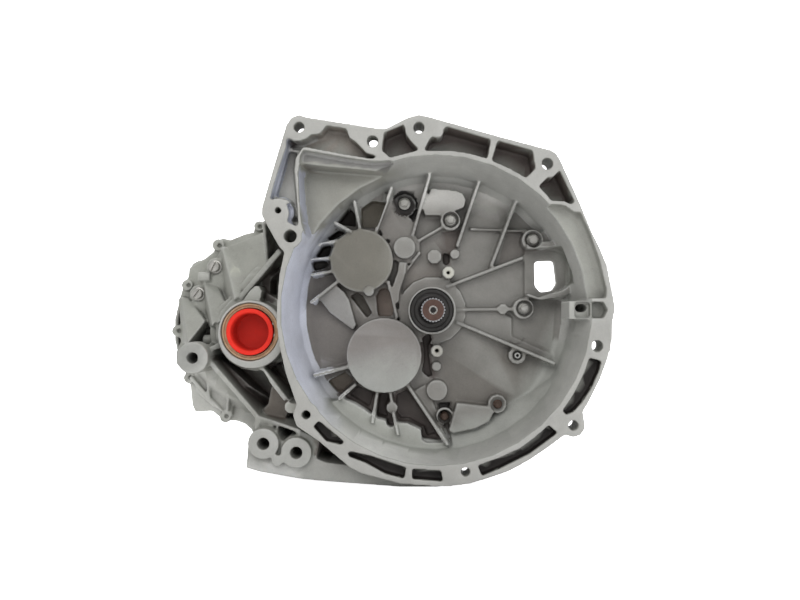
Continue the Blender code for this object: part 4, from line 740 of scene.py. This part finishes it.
HOUSING_CUT = [
    prism(carried(WINDOW, 60), carried(WINDOW, 120), 60, 120),
    slab(WINDOW_RECESS, 40, 68),
    slab(LEDGE, -1, 6.0),
    slab(LOW_BAND, -1, 9.0),
    slab(CHANNEL, -1, 12.0),
    disc(carry(-134.2, 183, 24), 14.6, 24, 74, 40),
    # crescent and hole at the foot of the channel
    slab([(-147.7, 108.5), (-144.2, 107), (-140.7, 102), (-139.7, 97), (-142.2, 91),
          (-146.2, 87), (-149.7, 86), (-145.7, 91), (-144.2, 97), (-145.7, 103)], -1, 7.0),
    disc((-143.2, 74), 6.3, -1, 24, 40),
    prism(carried(STRIP_FRONT, -1), carried(STRIP_BACK, 11), -1, 11),
    slab([(143.3, 8), (158.8, 8), (158.8, -8), (143.3, -8)], -1, 11),
    disc(carry(149.3, 2, 11), 4.2, 10, 30, 32),
    # round bores: centre, radius, front, back
    *(disc(centre, radius, front, back, 72 if radius > 10 else 40)
      for centre, radius, front, back in (
        (DIFFERENTIAL, 30.35, 10, 59), (DIFFERENTIAL, 23.0, 58, 95), (INPUT, 23.55, 40, 60.4),
        (INPUT, 19.4, 60, 90), (INPUT, 12.6, 80, 95), (carry(*PORT_LEFT, 20), 5.7, 10, 104),
        (carry(*PORT_LOW, 16), 6.2, 10, 70), (carry(*PORT_LOW_RIGHT, 16), 6.2, 10, 70),
        (FLANGE_BOSS, 4.3, -1, 26))),
    # gaps between the ribs under the lower disc and beside it
    slab([(-76.2, -77), (-60.2, -84), (-64.2, -99), (-77.2, -91), (-85.2, -86)], 60, 79.5),
    slab([(-54.2, -84), (-44.2, -84), (-45.2, -91), (-48.2, -98), (-45.2, -109),
          (-57.2, -106)], 60, 79.5),
    slab([(-37.2, -86), (-26.2, -81), (4.8, -125), (-6.2, -128), (-9.2, -119), (-25.2, -110),
          (-33.2, -110), (-37.2, -104)], 60, 79.5),
    slab([(-11.2, -28), (-3.2, -23), (-1.2, -30), (-4.2, -36), (-4.2, -46), (-3.2, -52),
          (-2.2, -60), (-0.2, -67), (-5.2, -68), (-11.2, -62), (-9.2, -52), (-9.2, -40)],
         60, 79.5),
    slab([(4.8, -94), (17.8, -93), (14.8, -102), (12.8, -114), (6.8, -102)], 66, 79.5),
    # hollow below the bell
    slab([(-119.2, -152), (-115.2, -131), (-93.2, -145), (-73.2, -157), (-88.2, -158),
          (-108.2, -156)], 8, 62),
    # hollows above the shaft
    disc(carry(*TOP_HOLLOW, 66), 13.6, 40, 66, 56),
    slab([(-37.2, 117), (-33.2, 120.5), (-25.2, 120.5), (-20.2, 114), (-17.2, 105), (-22.2, 96),
          (-33.2, 98)], 56, 67),
    slab([(10.3, 58), (17.3, 57), (16.8, 48), (13.3, 45), (10.3, 48)], 60, 79.5),
    disc(SLEEVE, 5.4, 50, 64.5, 36),
    prism(carried(LEFT_BULGE, 70), carried(LEFT_BULGE, 82), 38, 82),
    *(prism(carried(outline, 72), carried(outline, 72), 46, 84) for _, outline in OPENINGS),
    disc(INPUT, 23.6, 40, 60.4, 64),
    disc((148.8, 2), 4.0, 8, 34, 24),
    # flat round seats in the back wall: centre, depth, radius
    *(disc(carry(*centre, depth), radius, 40, depth, 40) for centre, depth, radius in (
        (SMALL_RIGHT, 66, 8.8), (SMALL_TOP, 66, 8.6), (SMALL_WINDOW, 62, 9.2),
        (TOP_HOLLOW, 66, 8.0), (LOW_BOSS, 70, 8.0), ((64.3, -94), 62, 8.2))),
]

# three wedges outside on the left, top to bottom: (x, z, depth) corners, back
WEDGES = [
    ([(-211.2, 62, 82), (-198.2, 10, 43), (-185.2, 29, 64), (-206.2, 63, 88), (-217.2, 52, 95),
      (-209.2, 9, 84)], 100),
    ([(-229.7, 28, 82), (-220.7, -16, 42), (-207.2, 6, 60), (-216.7, 26, 84), (-234.2, 25, 95),
      (-226.2, -18, 84)], 100),
    ([(-252.2, 13, 90), (-245.7, -34, 40), (-227.7, -11, 62), (-245.2, 12, 90),
      (-254.7, 11, 100), (-251.2, -34, 96)], 104),
]
HOUSING_ADD_LAST = [
    *(facets(points, [(0, 2, 1), (0, 3, 2), (0, 1, 5), (0, 5, 4)], back)
      for points, back in WEDGES),
    # shoulder between the first wedge and the bell, with a fold along its lower edge
    facets([(-207.2, 63, 92), (-170.2, 78, 84), (-165.2, 47, 60), (-186.2, 30, 62),
            (-188.2, 70, 84)], [(0, 4, 3), (4, 2, 3), (4, 1, 2)], 100),
    rib((-153.2, 60), (-193.2, 12), 4.6, 30, 46, 90),
    peg(-234.2, 33, -222.2, 5.0, 82, 36),
    peg(-229.2, -30, -212.2, 5.4, 66, 36),
    slab([(-162.2, -77), (-157.2, -74), (-141.2, -92), (-144.2, -101), (-150.2, -114),
          (-167.2, -105), (-170.2, -99), (-165.2, -94)], 52, 92),
    slab([(-171.2, -62), (-157.2, -56), (-150.2, -54), (-143.2, -74), (-153.2, -74)], 62, 92),
    *(boss(x, z, radius, 95, 106, 40) for x, z, radius in LUGS),
    # lip round the differential bore
    lathe([(30.35, 27.2), (31.2, 26.2), (33.0, 26.2), (33.0, 58.0), (30.35, 58.0)],
          DIFFERENTIAL, 112),
]
HOUSING_CUT_LAST = [boss(x, z, 2.3, 90, 98.5, 24) for x, z, _ in LUGS]

CASE_ADD = [disc(centre, 8.5, 308, 327.6, 28) for centre in (
    (UPPER[0] - 30, UPPER[1] + 64), (UPPER[0] + 40, UPPER[1] + 56), (-150, 20), (-132, -66),
    (LOWER[0] - 10, LOWER[1] - 66), (38, -42), (52, 12))]


# ------------------------------------------------------------------ tints of the castings
def soft(values, start, end):
    """0 at start, 1 at end and beyond."""
    return np.clip((values - start) / (end - start), 0, 1)


def inside(across, up, outline):
    result = np.zeros(len(across), bool)
    for (x1, z1), (x2, z2) in zip(outline, outline[1:] + outline[:1]):
        if z1 != z2:
            result ^= ((z1 > up) != (z2 > up)) & (across < (x2 - x1) * (up - z1) / (z2 - z1) + x1)
    return result


def housing_tones_and_painted_light(places, normals):
    x, y, z = places.T
    spread = 1 + y / EYE_D
    # the vertex carried along its line of sight to the engine face
    across, up = EYE_X + (x - EYE_X) / spread, EYE_Z + (z - EYE_Z) / spread
    to_front = -normals[:, 1]

    def depth(low, high=math.inf):
        return (y > low) & (y < high)

    def within(*outline):
        return inside(across, up, list(outline))

    def gap(centre):
        return np.hypot(across - centre[0], up - centre[1])

    from_axis = np.maximum(np.hypot(x - BELL[0], z - BELL[1]), 1.0)
    outward = (normals[:, 0] * (x - BELL[0]) + normals[:, 2] * (z - BELL[1])) / from_axis
    flange = (outward < 0.3) | (from_axis < 167)    # not the outer side of the flange
    inner = from_axis < 156.5 - 0.112 * y
    outer = ~inner
    back = inner & (y > 30)
    wall = inner & depth(1.0, 73) & (to_front < 0.75) & (gap((2.8, -0.5)) > 118)
    lower_face = (gap(LOWER_DISC) < 38.5) & (y < 60) & inner & (to_front > 0.5)
    from_ramp = gap(RAMP_CENTRE)
    foot = inner & depth(40, 72.5) & (up < -30) & (from_ramp > 108)
    channel = within(*CHANNEL)
    # worn streak low on the left wall, lit up as a painted sheen: an oval patch broken up by waves
    patch = np.exp(-(((across + 109.7) / 2.6) ** 4 + ((up + 30) / 24) ** 4)) * inner
    waves = np.sin(across * 7.1 - up * 3.3 + 2.08318) * np.sin(1.424929 - up * 5.7)
    wear_and_sheen = np.clip(patch * (0.55 + 0.45 * waves), 0, 1)

    return [
        # back wall of the bell: its grey darkened as painted shade from the bell walls, a painted
        # light at its top against the shadow of the upper wall, and darker to the left and lower
        # right
        (back, (136, 134, 129)),
        (back * soft(up, 95, 120), (243, 241, 236)),
        ((back & (y > 60)) * soft(-across, -36.8, 103.2), (124, 119, 114)),
        ((back & (y > 66)) * soft(across, -8.2, 16.8) * soft(-up, 25, 50)
         * soft(-across, -111.8, -81.8), (118, 114, 108)),
        # side wall of the bell, lighter than the grey as painted light, more so low on the left,
        # and a lilac painted light on the left, where a cool light falls
        (wall, (190, 190, 185)),
        (wall * soft(-across, -36.8, 53.2) * soft(-up, -40, 40), (226, 226, 221)),
        (wall * soft(-across, 88.2, 133.2), (232, 235, 248)),
        # turned discs and two small round spots
        ((gap(UPPER_DISC) < 32.5) & (y < 62) & inner & (to_front > 0.5), (122, 119, 110)),
        (lower_face, (135, 130, 126)),
        ((gap((15.3, 37.5)) < 7) & (y < 56), (196, 194, 182)),
        ((gap((3.8, -41)) < 7) & (y < 56), (172, 168, 158)),
        # thin dark rings: centre, radius, width
        *((np.clip(1 - np.abs(gap(centre) - radius) / width, 0, 1) * (inner & (y > 50)) * 0.75,
           (70, 66, 62)) for centre, radius, width in (
               ((-39.2, 86), 5.5, 1.1), ((80.8, 65), 5.5, 1.1), ((82.8, -26), 8, 1.1),
               (SPOT, 5.2, 1.0))),
        (lower_face * soft(-up, 42, 68), (168, 169, 164)),
        (wear_and_sheen * 0.8, (226, 226, 226)),
        # ledge and ramp at the foot of the wall, lightened as painted light, and painted shade in
        # the gaps above the ledge
        (foot & within((-133.2, -86), *FOOT_EDGE, (26.8, -160), (-73.2, -160), (-133.2, -120)),
         (178, 179, 172)),
        ((foot & (across > 16.8) & (y > 44)) * soft(from_ramp, 114, 124), (180, 181, 175)),
        (within((-105.2, -71), (-88.2, -62), (-78.2, -73), (-67.2, -80), (-43.2, -84),
                (-25.2, -78), *FOOT_EDGE[::-1]) & inner & (y > 66), (98, 90, 86)),
        (within((-12.2, -25), (0.8, -20), (2.8, -35), (-3.2, -40), (-1.2, -52), (2.8, -64),
                (0.8, -70), (-9.2, -64), (-12.2, -50)) & inner & (y > 66), (98, 90, 86)),
        # patches of the back wall: painted shade in its openings and hollows, other darker patches,
        # and a lighter panel
        ((within((73.8, 78), (93.8, 79), (111.8, 74), (116.8, 65), (63.8, 45))
          & inner & (y > 66)) * 0.8, (116, 111, 106)),
        (within((-115.2, 10), (-96.2, 24), (-84.2, 10), (-77.2, -18), (-103.2, -6))
         & inner & (y < 68), (142, 140, 137)),
        *((within(*outline) & depth(72.5, 90) & inner, colour) for colour, outline in OPENINGS),
        (inner & (gap(TOP_HOLLOW) < 12.5) & (y > 54), (62, 57, 54)),
        (inner & (gap(TOP_HOLLOW) < 13) & (y > 66), (40, 36, 34)),
        (inner & (gap((-19.2, 96)) < 6) & (y > 66), (40, 36, 34)),
        ((within((7.8, 78), (27.8, 80), (24.8, 64), (16.8, 54), (16.8, 44), (9.8, 46), (7.8, 60))
          & inner & (y > 67)) * 0.9, (96, 88, 83)),
        ((within((-22.2, 46), (6.8, 48), (10.8, 30), (-3.2, 24), (-24.2, 14), (-31.2, 20))
          & inner & (y > 67)) * 0.7, (116, 110, 104)),
        ((within((2.8, -92), (18.8, -92), (15.8, -120), (6.8, -114))
          & inner & (y > 66)) * 0.7, (58, 52, 48)),
        # machined engine face, and what is sunk in it: painted shade in the slots, pockets and the
        # corner of the channel, lighter and darker floors, and a lilac painted light on the left
        # walls of the channel and dish
        ((np.abs(y) < 0.8) & (to_front > 0.8), (174, 173, 168)),
        *((within(*outline) & depth(2.0, 30) & flange, (46, 41, 38)) for outline in SLOTS),
        *((within(*outline) & depth(3.0, 40) & flange, (122, 112, 107)) for outline in POCKETS),
        (within(*RECESS) & depth(2.5, 30) & ((normals[:, 2] < 0.5) | (z < 167)),
         (156, 149, 141)),
        (channel & depth(2.5, 34), (182, 180, 176)),
        ((channel & depth(2.5, 34)) * soft(-up, -130, -118), (208, 208, 203)),
        (within((-149.2, 173), (-136.2, 172), (-136.2, 162), (-149.2, 162)) & depth(2.5, 34),
         (84, 79, 76)),
        ((channel & depth(1.5, 34) & (to_front < 0.7) & (normals[:, 0] > -0.5))
         * soft(-across, 141.2, 147.2), (206, 210, 224)),
        (within(*LEDGE) & depth(4.5, 14), (150, 149, 146)),
        (within(*LOW_BAND) & depth(7.0, 14), (134, 133, 130)),
        (within(*DISH) & (y > 2.5), (160, 159, 151)),
        ((within((-133.2, 147), (-124.2, 142), (-91.2, 114), (-108.2, 120)) & (y > 12)) * 0.8,
         (142, 137, 127)),
        (within((-136.2, 140), (-127.2, 138), (-125.2, 110), (-115.2, 74), (-127.2, 72),
                (-134.2, 110)) & depth(2.0, 33), (196, 199, 212)),
        (within((-150.2, 110), (-137.2, 110), (-137.2, 84), (-150.2, 84)) & depth(1.2, 9),
         (204, 207, 220)),
        # outside, on the left: lighter casting further back, painted shade in the hollows between
        # the ribs and below the bell, painted light on the pad and ribs at the lower left, a darker
        # patch, and lighter faces at the bottom
        (((across < -133.2) & outer & (y > 30)) * soft(y, 40, 90) * 0.8, (166, 167, 159)),
        *((within(*outline) & (y > start) & outer, (92, 85, 80)) for start, outline in HOLLOWS),
        (within((-161.2, -76), (-157.2, -72), (-141.2, -92), (-143.2, -102), (-149.2, -114),
                (-167.2, -104), (-171.2, -98), (-165.2, -94)) & (y > 40) & outer,
         (124, 117, 109)),
        (within((-121.2, -154), (-115.2, -128), (-88.2, -145), (-71.2, -159))
         & depth(10, 70) & outer, (112, 103, 97)),
        (within((-233.2, -56), (-177.2, -112), (-179.2, -122), (-208.2, -110), (-241.2, -100),
                (-245.2, -68)) & (y > 60), (200, 200, 194)),
        (within((-233.2, 0), (-227.2, -9), (-214.2, -21), (-212.2, -36), (-227.2, -42),
                (-230.2, -30), (-223.2, -20)) & (y > 70) & outer, (84, 78, 74)),
        (((up < -145) & (y > 20) & outer & (across < -13.2)) * 0.8, (184, 184, 179)),
        # front faces of the bosses, lower left
        (depth(10, 30) & (to_front > 0.8) & (across < -121.2) & (up < 10), (174, 174, 169)),
        ((gap((-246.2, -44)) < 16) & (y < 40), (156, 156, 151)),
        (((gap((-198.2, 38)) < 5) & (y > 60)) * 0.6, (190, 192, 178)),
        ((up < -152) & (y > 20) & outer & (across < -133.2), (206, 206, 202)),
    ]


def case_tints(places, normals):
    y = places[:, 1]
    return [(np.ones(len(y)), (158, 158, 150)), ((y < 128) * 0.6, (150, 150, 142))]


casting("housing_casting", "clutch_housing", voxel=0.00125, most=190000, tints=housing_tones_and_painted_light,
        steps=(("UNION", HOUSING_ADD), ("DIFFERENCE", HOUSING_CUT),
               ("UNION", HOUSING_ADD_LAST), ("DIFFERENCE", HOUSING_CUT_LAST)))
casting("gear_case_casting", "gear_case", voxel=0.0019, most=90000, tints=case_tints,
        steps=(("UNION", CASE_ADD),))
casting("end_cover_casting", "end_cover", voxel=0.0018, most=40000, tints=case_tints)


# ------------------------------------------------------------------ bolts
def hexagon(centre, flats, y0, y1, side_steps=5, chamfer=0.9):
    """A bolt head measured across flats, its edge at y0 cut by a cone."""
    count = 6 * side_steps
    half = flats / 2
    corner = half / math.cos(math.pi / 6)
    # depth, greatest radius there
    levels = [(y1, math.inf), (y0 + chamfer, math.inf),
              (y0 + chamfer * 0.45, corner - 0.55 * (corner - half) - 0.1), (y0, half - 0.25)]
    verts = []
    for y, limit in levels:
        for i in range(count):
            angle = TAU * i / count
            radius = min(half / math.cos((angle % (TAU / 6)) - TAU / 12), limit)
            verts.append((centre[0] + radius * math.cos(angle), y,
                          centre[1] + radius * math.sin(angle)))
    return verts, loft_faces(count, len(levels))


def shank(centre, start, end):
    return turned([(0.02, start), (3.8, start), (3.8, end - 0.8), (3.0, end), (0.02, end)],
                  0.2, centre, 28)


def inner_bolt(node, flats, seat_radius, head, material):
    """A flanged hexagon bolt along Y with a dished head towards -Y and a plain shank."""
    centre, _, end = axis_span(node)
    seat = end - 12.0
    flange = turned([(0.02, seat), (seat_radius, seat), (seat_radius, seat - 0.9),
                     (seat_radius - 1.6, seat - 1.9), (0.02, seat - 2.3)], 0.35, centre, 48)
    top = seat - head
    dish = lathe([(0.02, top + 0.1), (flats * 0.30, top + 0.05), (flats * 0.36, top - 0.35),
                  (flats * 0.40, top + 0.05), (flats * 0.38, top + 0.6), (0.02, top + 0.6)],
                 centre, 36)
    solid = join(flange, hexagon(centre, flats, top, seat - 1.2), dish,
                 shank(centre, seat - 0.5, seat + 11.0))
    piece(node + "_fine", solid, material, "bolt_steel", node, smooth=28)


def cover_bolt(node):
    """A flanged hexagon head towards +Y."""
    (centre_x, centre_z), seat, _ = axis_span(node)
    verts, faces = join(
        turned([(0.02, 0.0), (7.0, 0.0), (7.0, -0.9), (5.4, -1.7), (0.02, -2.0)],
               0.3, (0, 0), 48),
        hexagon((0, 0), 8.6, -7.0, -1.2))
    piece(node + "_fine", ([(centre_x + x, seat - y, centre_z + z) for x, y, z in verts], faces),
          ZINC, "bolt_steel", node, smooth=28)


def slotted_bolt(node, degrees):
    """A round head whose slot is left open between two halves, turned by degrees."""
    centre, front, end = axis_span(node)
    seat = end - 9.0
    steps, radius, half_slot, deep = 40, 6.0, 0.85, 2.2
    turn_cos, turn_sin = math.cos(math.radians(degrees)), math.sin(math.radians(degrees))
    first = math.asin(half_slot / radius)
    angles = [first + (math.pi - 2 * first) * i / steps for i in range(steps + 1)]
    halves = []
    for side in (1, -1):
        arc = [(radius * math.cos(a), side * radius * math.sin(a)) for a in angles]
        small = [(u * 0.90, side * max(abs(v) * 0.90, half_slot)) for u, v in arc]
        verts = [(centre[0] + u * turn_cos - v * turn_sin, y,
                  centre[1] + u * turn_sin + v * turn_cos)
                 for y, ring in ((front + deep, arc), (front + 0.6, arc), (front, small))
                 for u, v in ring]
        halves.append((verts, loft_faces(len(arc), 3)))
    collar = turned([(0.02, front + deep), (radius, front + deep), (radius, seat - 1.4),
                     (7.6, seat - 1.0), (7.6, seat), (0.02, seat)], 0.25, centre, 56)
    piece(node + "_fine", join(*halves, collar, shank(centre, seat - 0.4, end)), ZINC,
          "bolt_steel", node, smooth=28)


# node, width across flats, flange radius, head height, material
for row in (("inner_bolt_right", 8.2, 6.6, 6.2, ZINC), ("inner_bolt_top", 8.4, 6.6, 6.2, ZINC),
            ("inner_bolt_window", 9.6, 6.6, 6.2, ZINC), ("inner_bolt_corner", 8.2, 6.6, 6.2, ZINC),
            ("inner_bolt_bottom", 7.0, 4.9, 5.0, RUST),
            ("inner_bolt_lower_right", 7.0, 4.9, 5.0, RUST)):
    inner_bolt(*row)
cover_bolt("cover_bolt_upper")
cover_bolt("cover_bolt_lower")
slotted_bolt("case_bolt_upper", 62)
slotted_bolt("case_bolt_lower", 55)

# ------------------------------------------------------------------ plug, seals and shaft end
piece("transport_plug_fine", turned([
    (0.02, 44.6), (17.9, 44.6), (18.4, 43.8), (19.6, 27.0), (20.4, 25.6), (24.3, 25.6),
    (24.3, 29.5), (22.1, 29.6), (20.8, 47.8), (19.6, 48.0), (0.02, 48.0)],
    0.5, DIFFERENTIAL, 112), RED, "red_plastic", "transport_plug")
piece("drive_shaft_seal_fine", turned([
    (25.0, 58.5), (29.95, 58.5), (29.95, 28.6), (29.0, 28.0), (27.9, 28.2), (27.4, 29.6),
    (26.7, 29.9), (26.1, 29.0), (25.3, 29.2), (25.0, 31.0)],
    0.3, DIFFERENTIAL, 112), BROWN, "seal_brown", "differential_seal_front")
piece("input_shaft_seal_fine", turned([
    (11.8, 60.0), (23.15, 60.0), (23.15, 50.9), (22.4, 50.5), (19.4, 50.6), (18.6, 51.6),
    (16.2, 51.7), (15.2, 50.9), (13.9, 51.6), (12.6, 53.2), (11.8, 54.6)],
    0.4, INPUT, 112), SEAL, "seal_rubber", "input_shaft_seal")
piece("input_shaft_end_face",
      turned([(4.4, -0.12), (10.6, -0.28), (11.0, 0.2), (4.4, 0.2)], 0.12, INPUT, 72),
      SHAFT_END, "gear_steel", body="input_shaft")
piece("input_shaft_centre_ring",
      turned([(3.0, -0.35), (4.4, -0.35), (4.4, 0.2), (3.0, 0.2)], 0.2, INPUT, 60),
      SHAFT, "gear_steel", body="input_shaft")
# a thin black disc painted as the shade in the shaft's centre hole
piece("input_shaft_centre_hole",
      lathe([(0.02, -0.05), (3.0, -0.06), (3.0, 0.15), (0.02, 0.15)], INPUT, 48),
      HOLE_SHADE, "gear_steel", body="input_shaft")
piece("locating_sleeve_fine", turned([
    (1.5, 67.0), (3.3, 67.0), (3.3, 59.9), (2.9, 59.4), (1.9, 59.4), (1.5, 59.9)],
    0.2, SLEEVE, 40), CAST_PLAIN, "cast_aluminium")

# ------------------------------------------------------------------ upright fittings
SELECTOR = axis_span("selector_shaft", "xyz")[0]
piece("selector_turret_fine", turned([
    (7.3, 129.2), (13.2, 129.2), (13.2, 142.5), (19.9, 142.5), (19.9, 147.6), (18.6, 148.2),
    (13.4, 149.8), (12.2, 157.0), (11.4, 157.9), (7.3, 157.9)],
    0.6, SELECTOR, 72, "Z"), CAST_PLAIN, "cast_aluminium", "selector_turret")
piece("selector_shaft_fine", turned([
    (0.02, 66.1), (5.6, 66.1), (6.5, 67.4), (6.5, 176.0), (6.0, 176.6), (6.0, 178.0),
    (6.5, 178.6), (6.5, 182.8), (5.4, 183.9), (0.02, 183.9)],
    0.25, SELECTOR, 48, "Z"), SHAFT, "gear_steel", "selector_shaft", body="selector_shaft")


def hex_upright(centre, flats, start, end, first, way):
    """A hexagon along Z: its local depths start to end run from height first, up or down."""
    verts, faces = hexagon((0, 0), flats, start, end)
    return [(centre[0] + x, centre[1] + z, first + way * y) for x, y, z in verts], faces


def breather():
    centre, low, top = axis_span("breather", "xyz")
    solid = join(
        turned([(0.02, low), (3.5, low), (3.5, low + 6.6), (0.02, low + 6.6)],
               0.3, centre, 36, "Z"),
        hex_upright(centre, 9.4, 0.0, 4.2, low + 10.6, -1),
        turned([(0.02, low + 10.0), (5.0, low + 10.0), (5.0, low + 11.4), (7.9, low + 12.0),
                (7.9, top - 2.6), (6.4, top), (0.02, top)], 0.8, centre, 48, "Z"))
    piece("breather_fine", solid, ZINC, "bolt_steel", "breather", smooth=30)


def reverse_switch():
    centre, low, top = axis_span("reverse_switch", "xyz")
    solid = join(
        turned([(0.02, low + 0.1), (7.4, low + 0.1), (7.4, low + 16.6), (0.02, low + 16.6)],
               0.4, centre, 48, "Z"),
        hex_upright(centre, 20.4, 0.0, 5.6, low + 22.2, -1),
        turned([(0.02, low + 22.0), (9.0, low + 22.0), (9.0, low + 35.4), (7.2, low + 36.4),
                (7.0, top - 0.1), (5.6, top), (5.4, top - 7.0), (0.02, top - 7.0)],
               0.5, centre, 56, "Z"))
    piece("reverse_switch_fine", solid, BRASS, "fork_alloy", "reverse_switch", smooth=30)


def drain_plug():
    centre, low, top = axis_span("drain_plug", "xyz")
    solid = join(
        turned([(0.02, low + 4.0), (8.4, low + 4.0), (8.4, low + 6.4), (7.9, low + 6.5),
                (7.9, top), (0.02, top)], 0.4, centre, 48, "Z"),
        hex_upright(centre, 13.6, 0.05, 4.2, low, 1))
    piece("drain_plug_fine", solid, ZINC, "bolt_steel", "drain_plug", smooth=30)


breather()
reverse_switch()
drain_plug()


# ------------------------------------------------------------------ toothed CAD pieces
def folded_edges(bm):
    """Edges whose two faces lie in one plane and face opposite ways."""
    return [e for e in bm.edges if len(e.link_faces) == 2
            and min(f.calc_area() for f in e.link_faces) > 1e-3
            and e.link_faces[0].normal.dot(e.link_faces[1].normal) < -0.9999]


def relay_ends(node):
    """Lays a toothed piece's folded flat ends anew between their outlines. The copy is used
    only if it is closed, free of folds and of the same volume."""
    source = NODES[node]
    bm = bmesh.new()
    bm.from_mesh(source.data)
    bm.transform(source.matrix_world)
    bm.transform(Matrix.Scale(1 / MM, 4))
    bmesh.ops.remove_doubles(bm, verts=bm.verts, dist=1e-4)
    bm.normal_update()
    volume = bm.calc_volume()
    for level in sorted({round(v.co.y, 2) for e in folded_edges(bm) for v in e.verts}):
        def is_flat(part):
            return all(abs(v.co.y - level) < 0.02 for v in part.verts)

        bmesh.ops.delete(bm, geom=[f for f in bm.faces if is_flat(f)], context="FACES")
        rim = [e for e in bm.edges if len(e.link_faces) == 1 and is_flat(e)]
        bmesh.ops.triangle_fill(bm, edges=rim, use_beauty=True, normal=(0, 1, 0))
    bmesh.ops.recalc_face_normals(bm, faces=bm.faces)
    bm.normal_update()
    closed = all(len(e.link_faces) == 2 for e in bm.edges)
    if closed and not folded_edges(bm) and abs(bm.calc_volume() / volume - 1) < 0.001:
        bm.verts.index_update()
        solid = ([tuple(v.co) for v in bm.verts],
                 [tuple(v.index for v in f.verts) for f in bm.faces])
        piece(node + "_fine", solid, STEEL, "gear_steel", node, body=node, smooth=30)
    bm.free()


for node in ("input_shaft", "lower_output_shaft", "upper_output_shaft", "fifth_gear",
             "sixth_gear"):
    relay_ends(node)
for node in ("shift_lever", "shift_finger"):
    bevel = NODES[node].modifiers.new("edges", "BEVEL")
    bevel.width, bevel.segments = 0.0007, 2
    bevel.limit_method, bevel.angle_limit = "ANGLE", math.radians(40)


# ------------------------------------------------------------------ floor, light, camera (metres)
def make_floor():
    """A pale floor just under the box, bent up into a wall behind it."""
    half_width, front, bend_start, bend, top = 4.0, -3.0, 1.2, 0.6, 3.0
    angles = [math.pi / 2 * i / 12 for i in range(1, 13)]
    profile = [(front, 0.0), (bend_start, 0.0)]
    profile += [(bend_start + bend * math.sin(a), bend - bend * math.cos(a)) for a in angles]
    profile += [(bend_start + bend, top)]
    level = Vector(CAD_BOX[0]).z
    mesh = bpy.data.meshes.new("floor")
    bm = bmesh.new()
    left, right = [[bm.verts.new((x, y, z + level - 0.0005)) for y, z in profile]
                   for x in (-half_width, half_width)]
    for i in range(len(profile) - 1):
        bm.faces.new((left[i], right[i], right[i + 1], left[i + 1]))
    bm.to_mesh(mesh)
    bm.free()
    mesh.shade_smooth()
    floor = link("floor", mesh)
    sh = new_shader("floor_pale")
    seen = sh.node("LightPath", output="Is Camera Ray")
    sh.surface({
        "Base Color": (0.92, 0.92, 0.92),
        "Roughness": 0.9,
        "Emission Color": (1, 1, 1),
        "Emission Strength": sh.remap(seen, span=(0.0, 1.0), to=(0.10, 0.95))})
    mesh.materials.append(sh.owner)


def make_world():
    """White to the camera, dimmer as a light."""
    world = bpy.data.worlds.new("studio")
    bpy.context.scene.world = world
    sh = Shader(world)
    background = sh.tree.nodes["Background"]
    sh.feed(background.inputs[0], (1, 1, 1))
    seen = sh.node("LightPath", output="Is Camera Ray")
    sh.feed(background.inputs[1], sh.remap(seen, span=(0.0, 1.0), to=(0.34, 1.0)))


def area(name, place, target, size, power, colour=(1, 1, 1)):
    light = bpy.data.lights.new(name, "AREA")
    light.shape, light.energy, light.color = "RECTANGLE", power, colour
    light.size, light.size_y = size
    obj = link(name, light)
    obj.location = place
    aim = Vector(target) - Vector(place)
    obj.rotation_euler = aim.to_track_quat("-Z", "Y").to_euler()


def make_camera():
    """Looks along +Y; the shift frames the view without turning the camera."""
    view_width = 800.0          # mm seen across the engine face
    view_x, view_z = -33.2, 10.0    # mm, middle of the view on the engine face
    camera = bpy.data.cameras.new("camera")
    camera.sensor_width = 36.0
    camera.lens = camera.sensor_width * EYE_D / view_width
    camera.shift_x = (view_x - EYE_X) / view_width
    camera.shift_y = (view_z - EYE_Z) / view_width
    camera.clip_start = 0.01
    obj = link("camera", camera)
    obj.location = (EYE_X * MM, -EYE_D * MM, EYE_Z * MM)
    obj.rotation_euler = (math.pi / 2, 0, 0)
    bpy.context.scene.camera = obj
    bpy.context.scene.view_settings.view_transform = "Standard"
    bpy.context.scene.view_settings.look = "None"


make_floor()
make_world()
area("key", place=(-0.55, -1.5, 1.2), target=(0, 0.05, 0), size=(1.4, 1.0), power=15.5)
area("fill", place=(1.2, -1.3, 0.4), target=(0, 0.05, 0), size=(1.2, 1.2), power=8.5,
     colour=(0.94, 0.965, 1.0))
area("top", place=(0.0, 0.3, 1.7), target=(0, 0.1, 0), size=(1.6, 1.2), power=9)
area("back", place=(-0.4, 1.5, 1.2), target=(0, 0.2, 0), size=(1.4, 1.0), power=10)
make_camera()

# ------------------------------------------------------------------ materials of the CAD nodes
SLOT_MATERIALS = {
    "gear_steel": STEEL, "bearing_steel": BEARING, "bolt_steel": ZINC, "seal_rubber": SEAL,
    "seal_brown": BROWN, "red_plastic": RED, "fork_alloy": FORK}
slot_of = {part["node"]: part["material_slot"] for part in frame["record"]["subparts"]}
for node, obj in NODES.items():
    obj.data.materials.clear()
    obj.data.materials.append(SLOT_MATERIALS.get(slot_of.get(node), CAST_PLAIN))
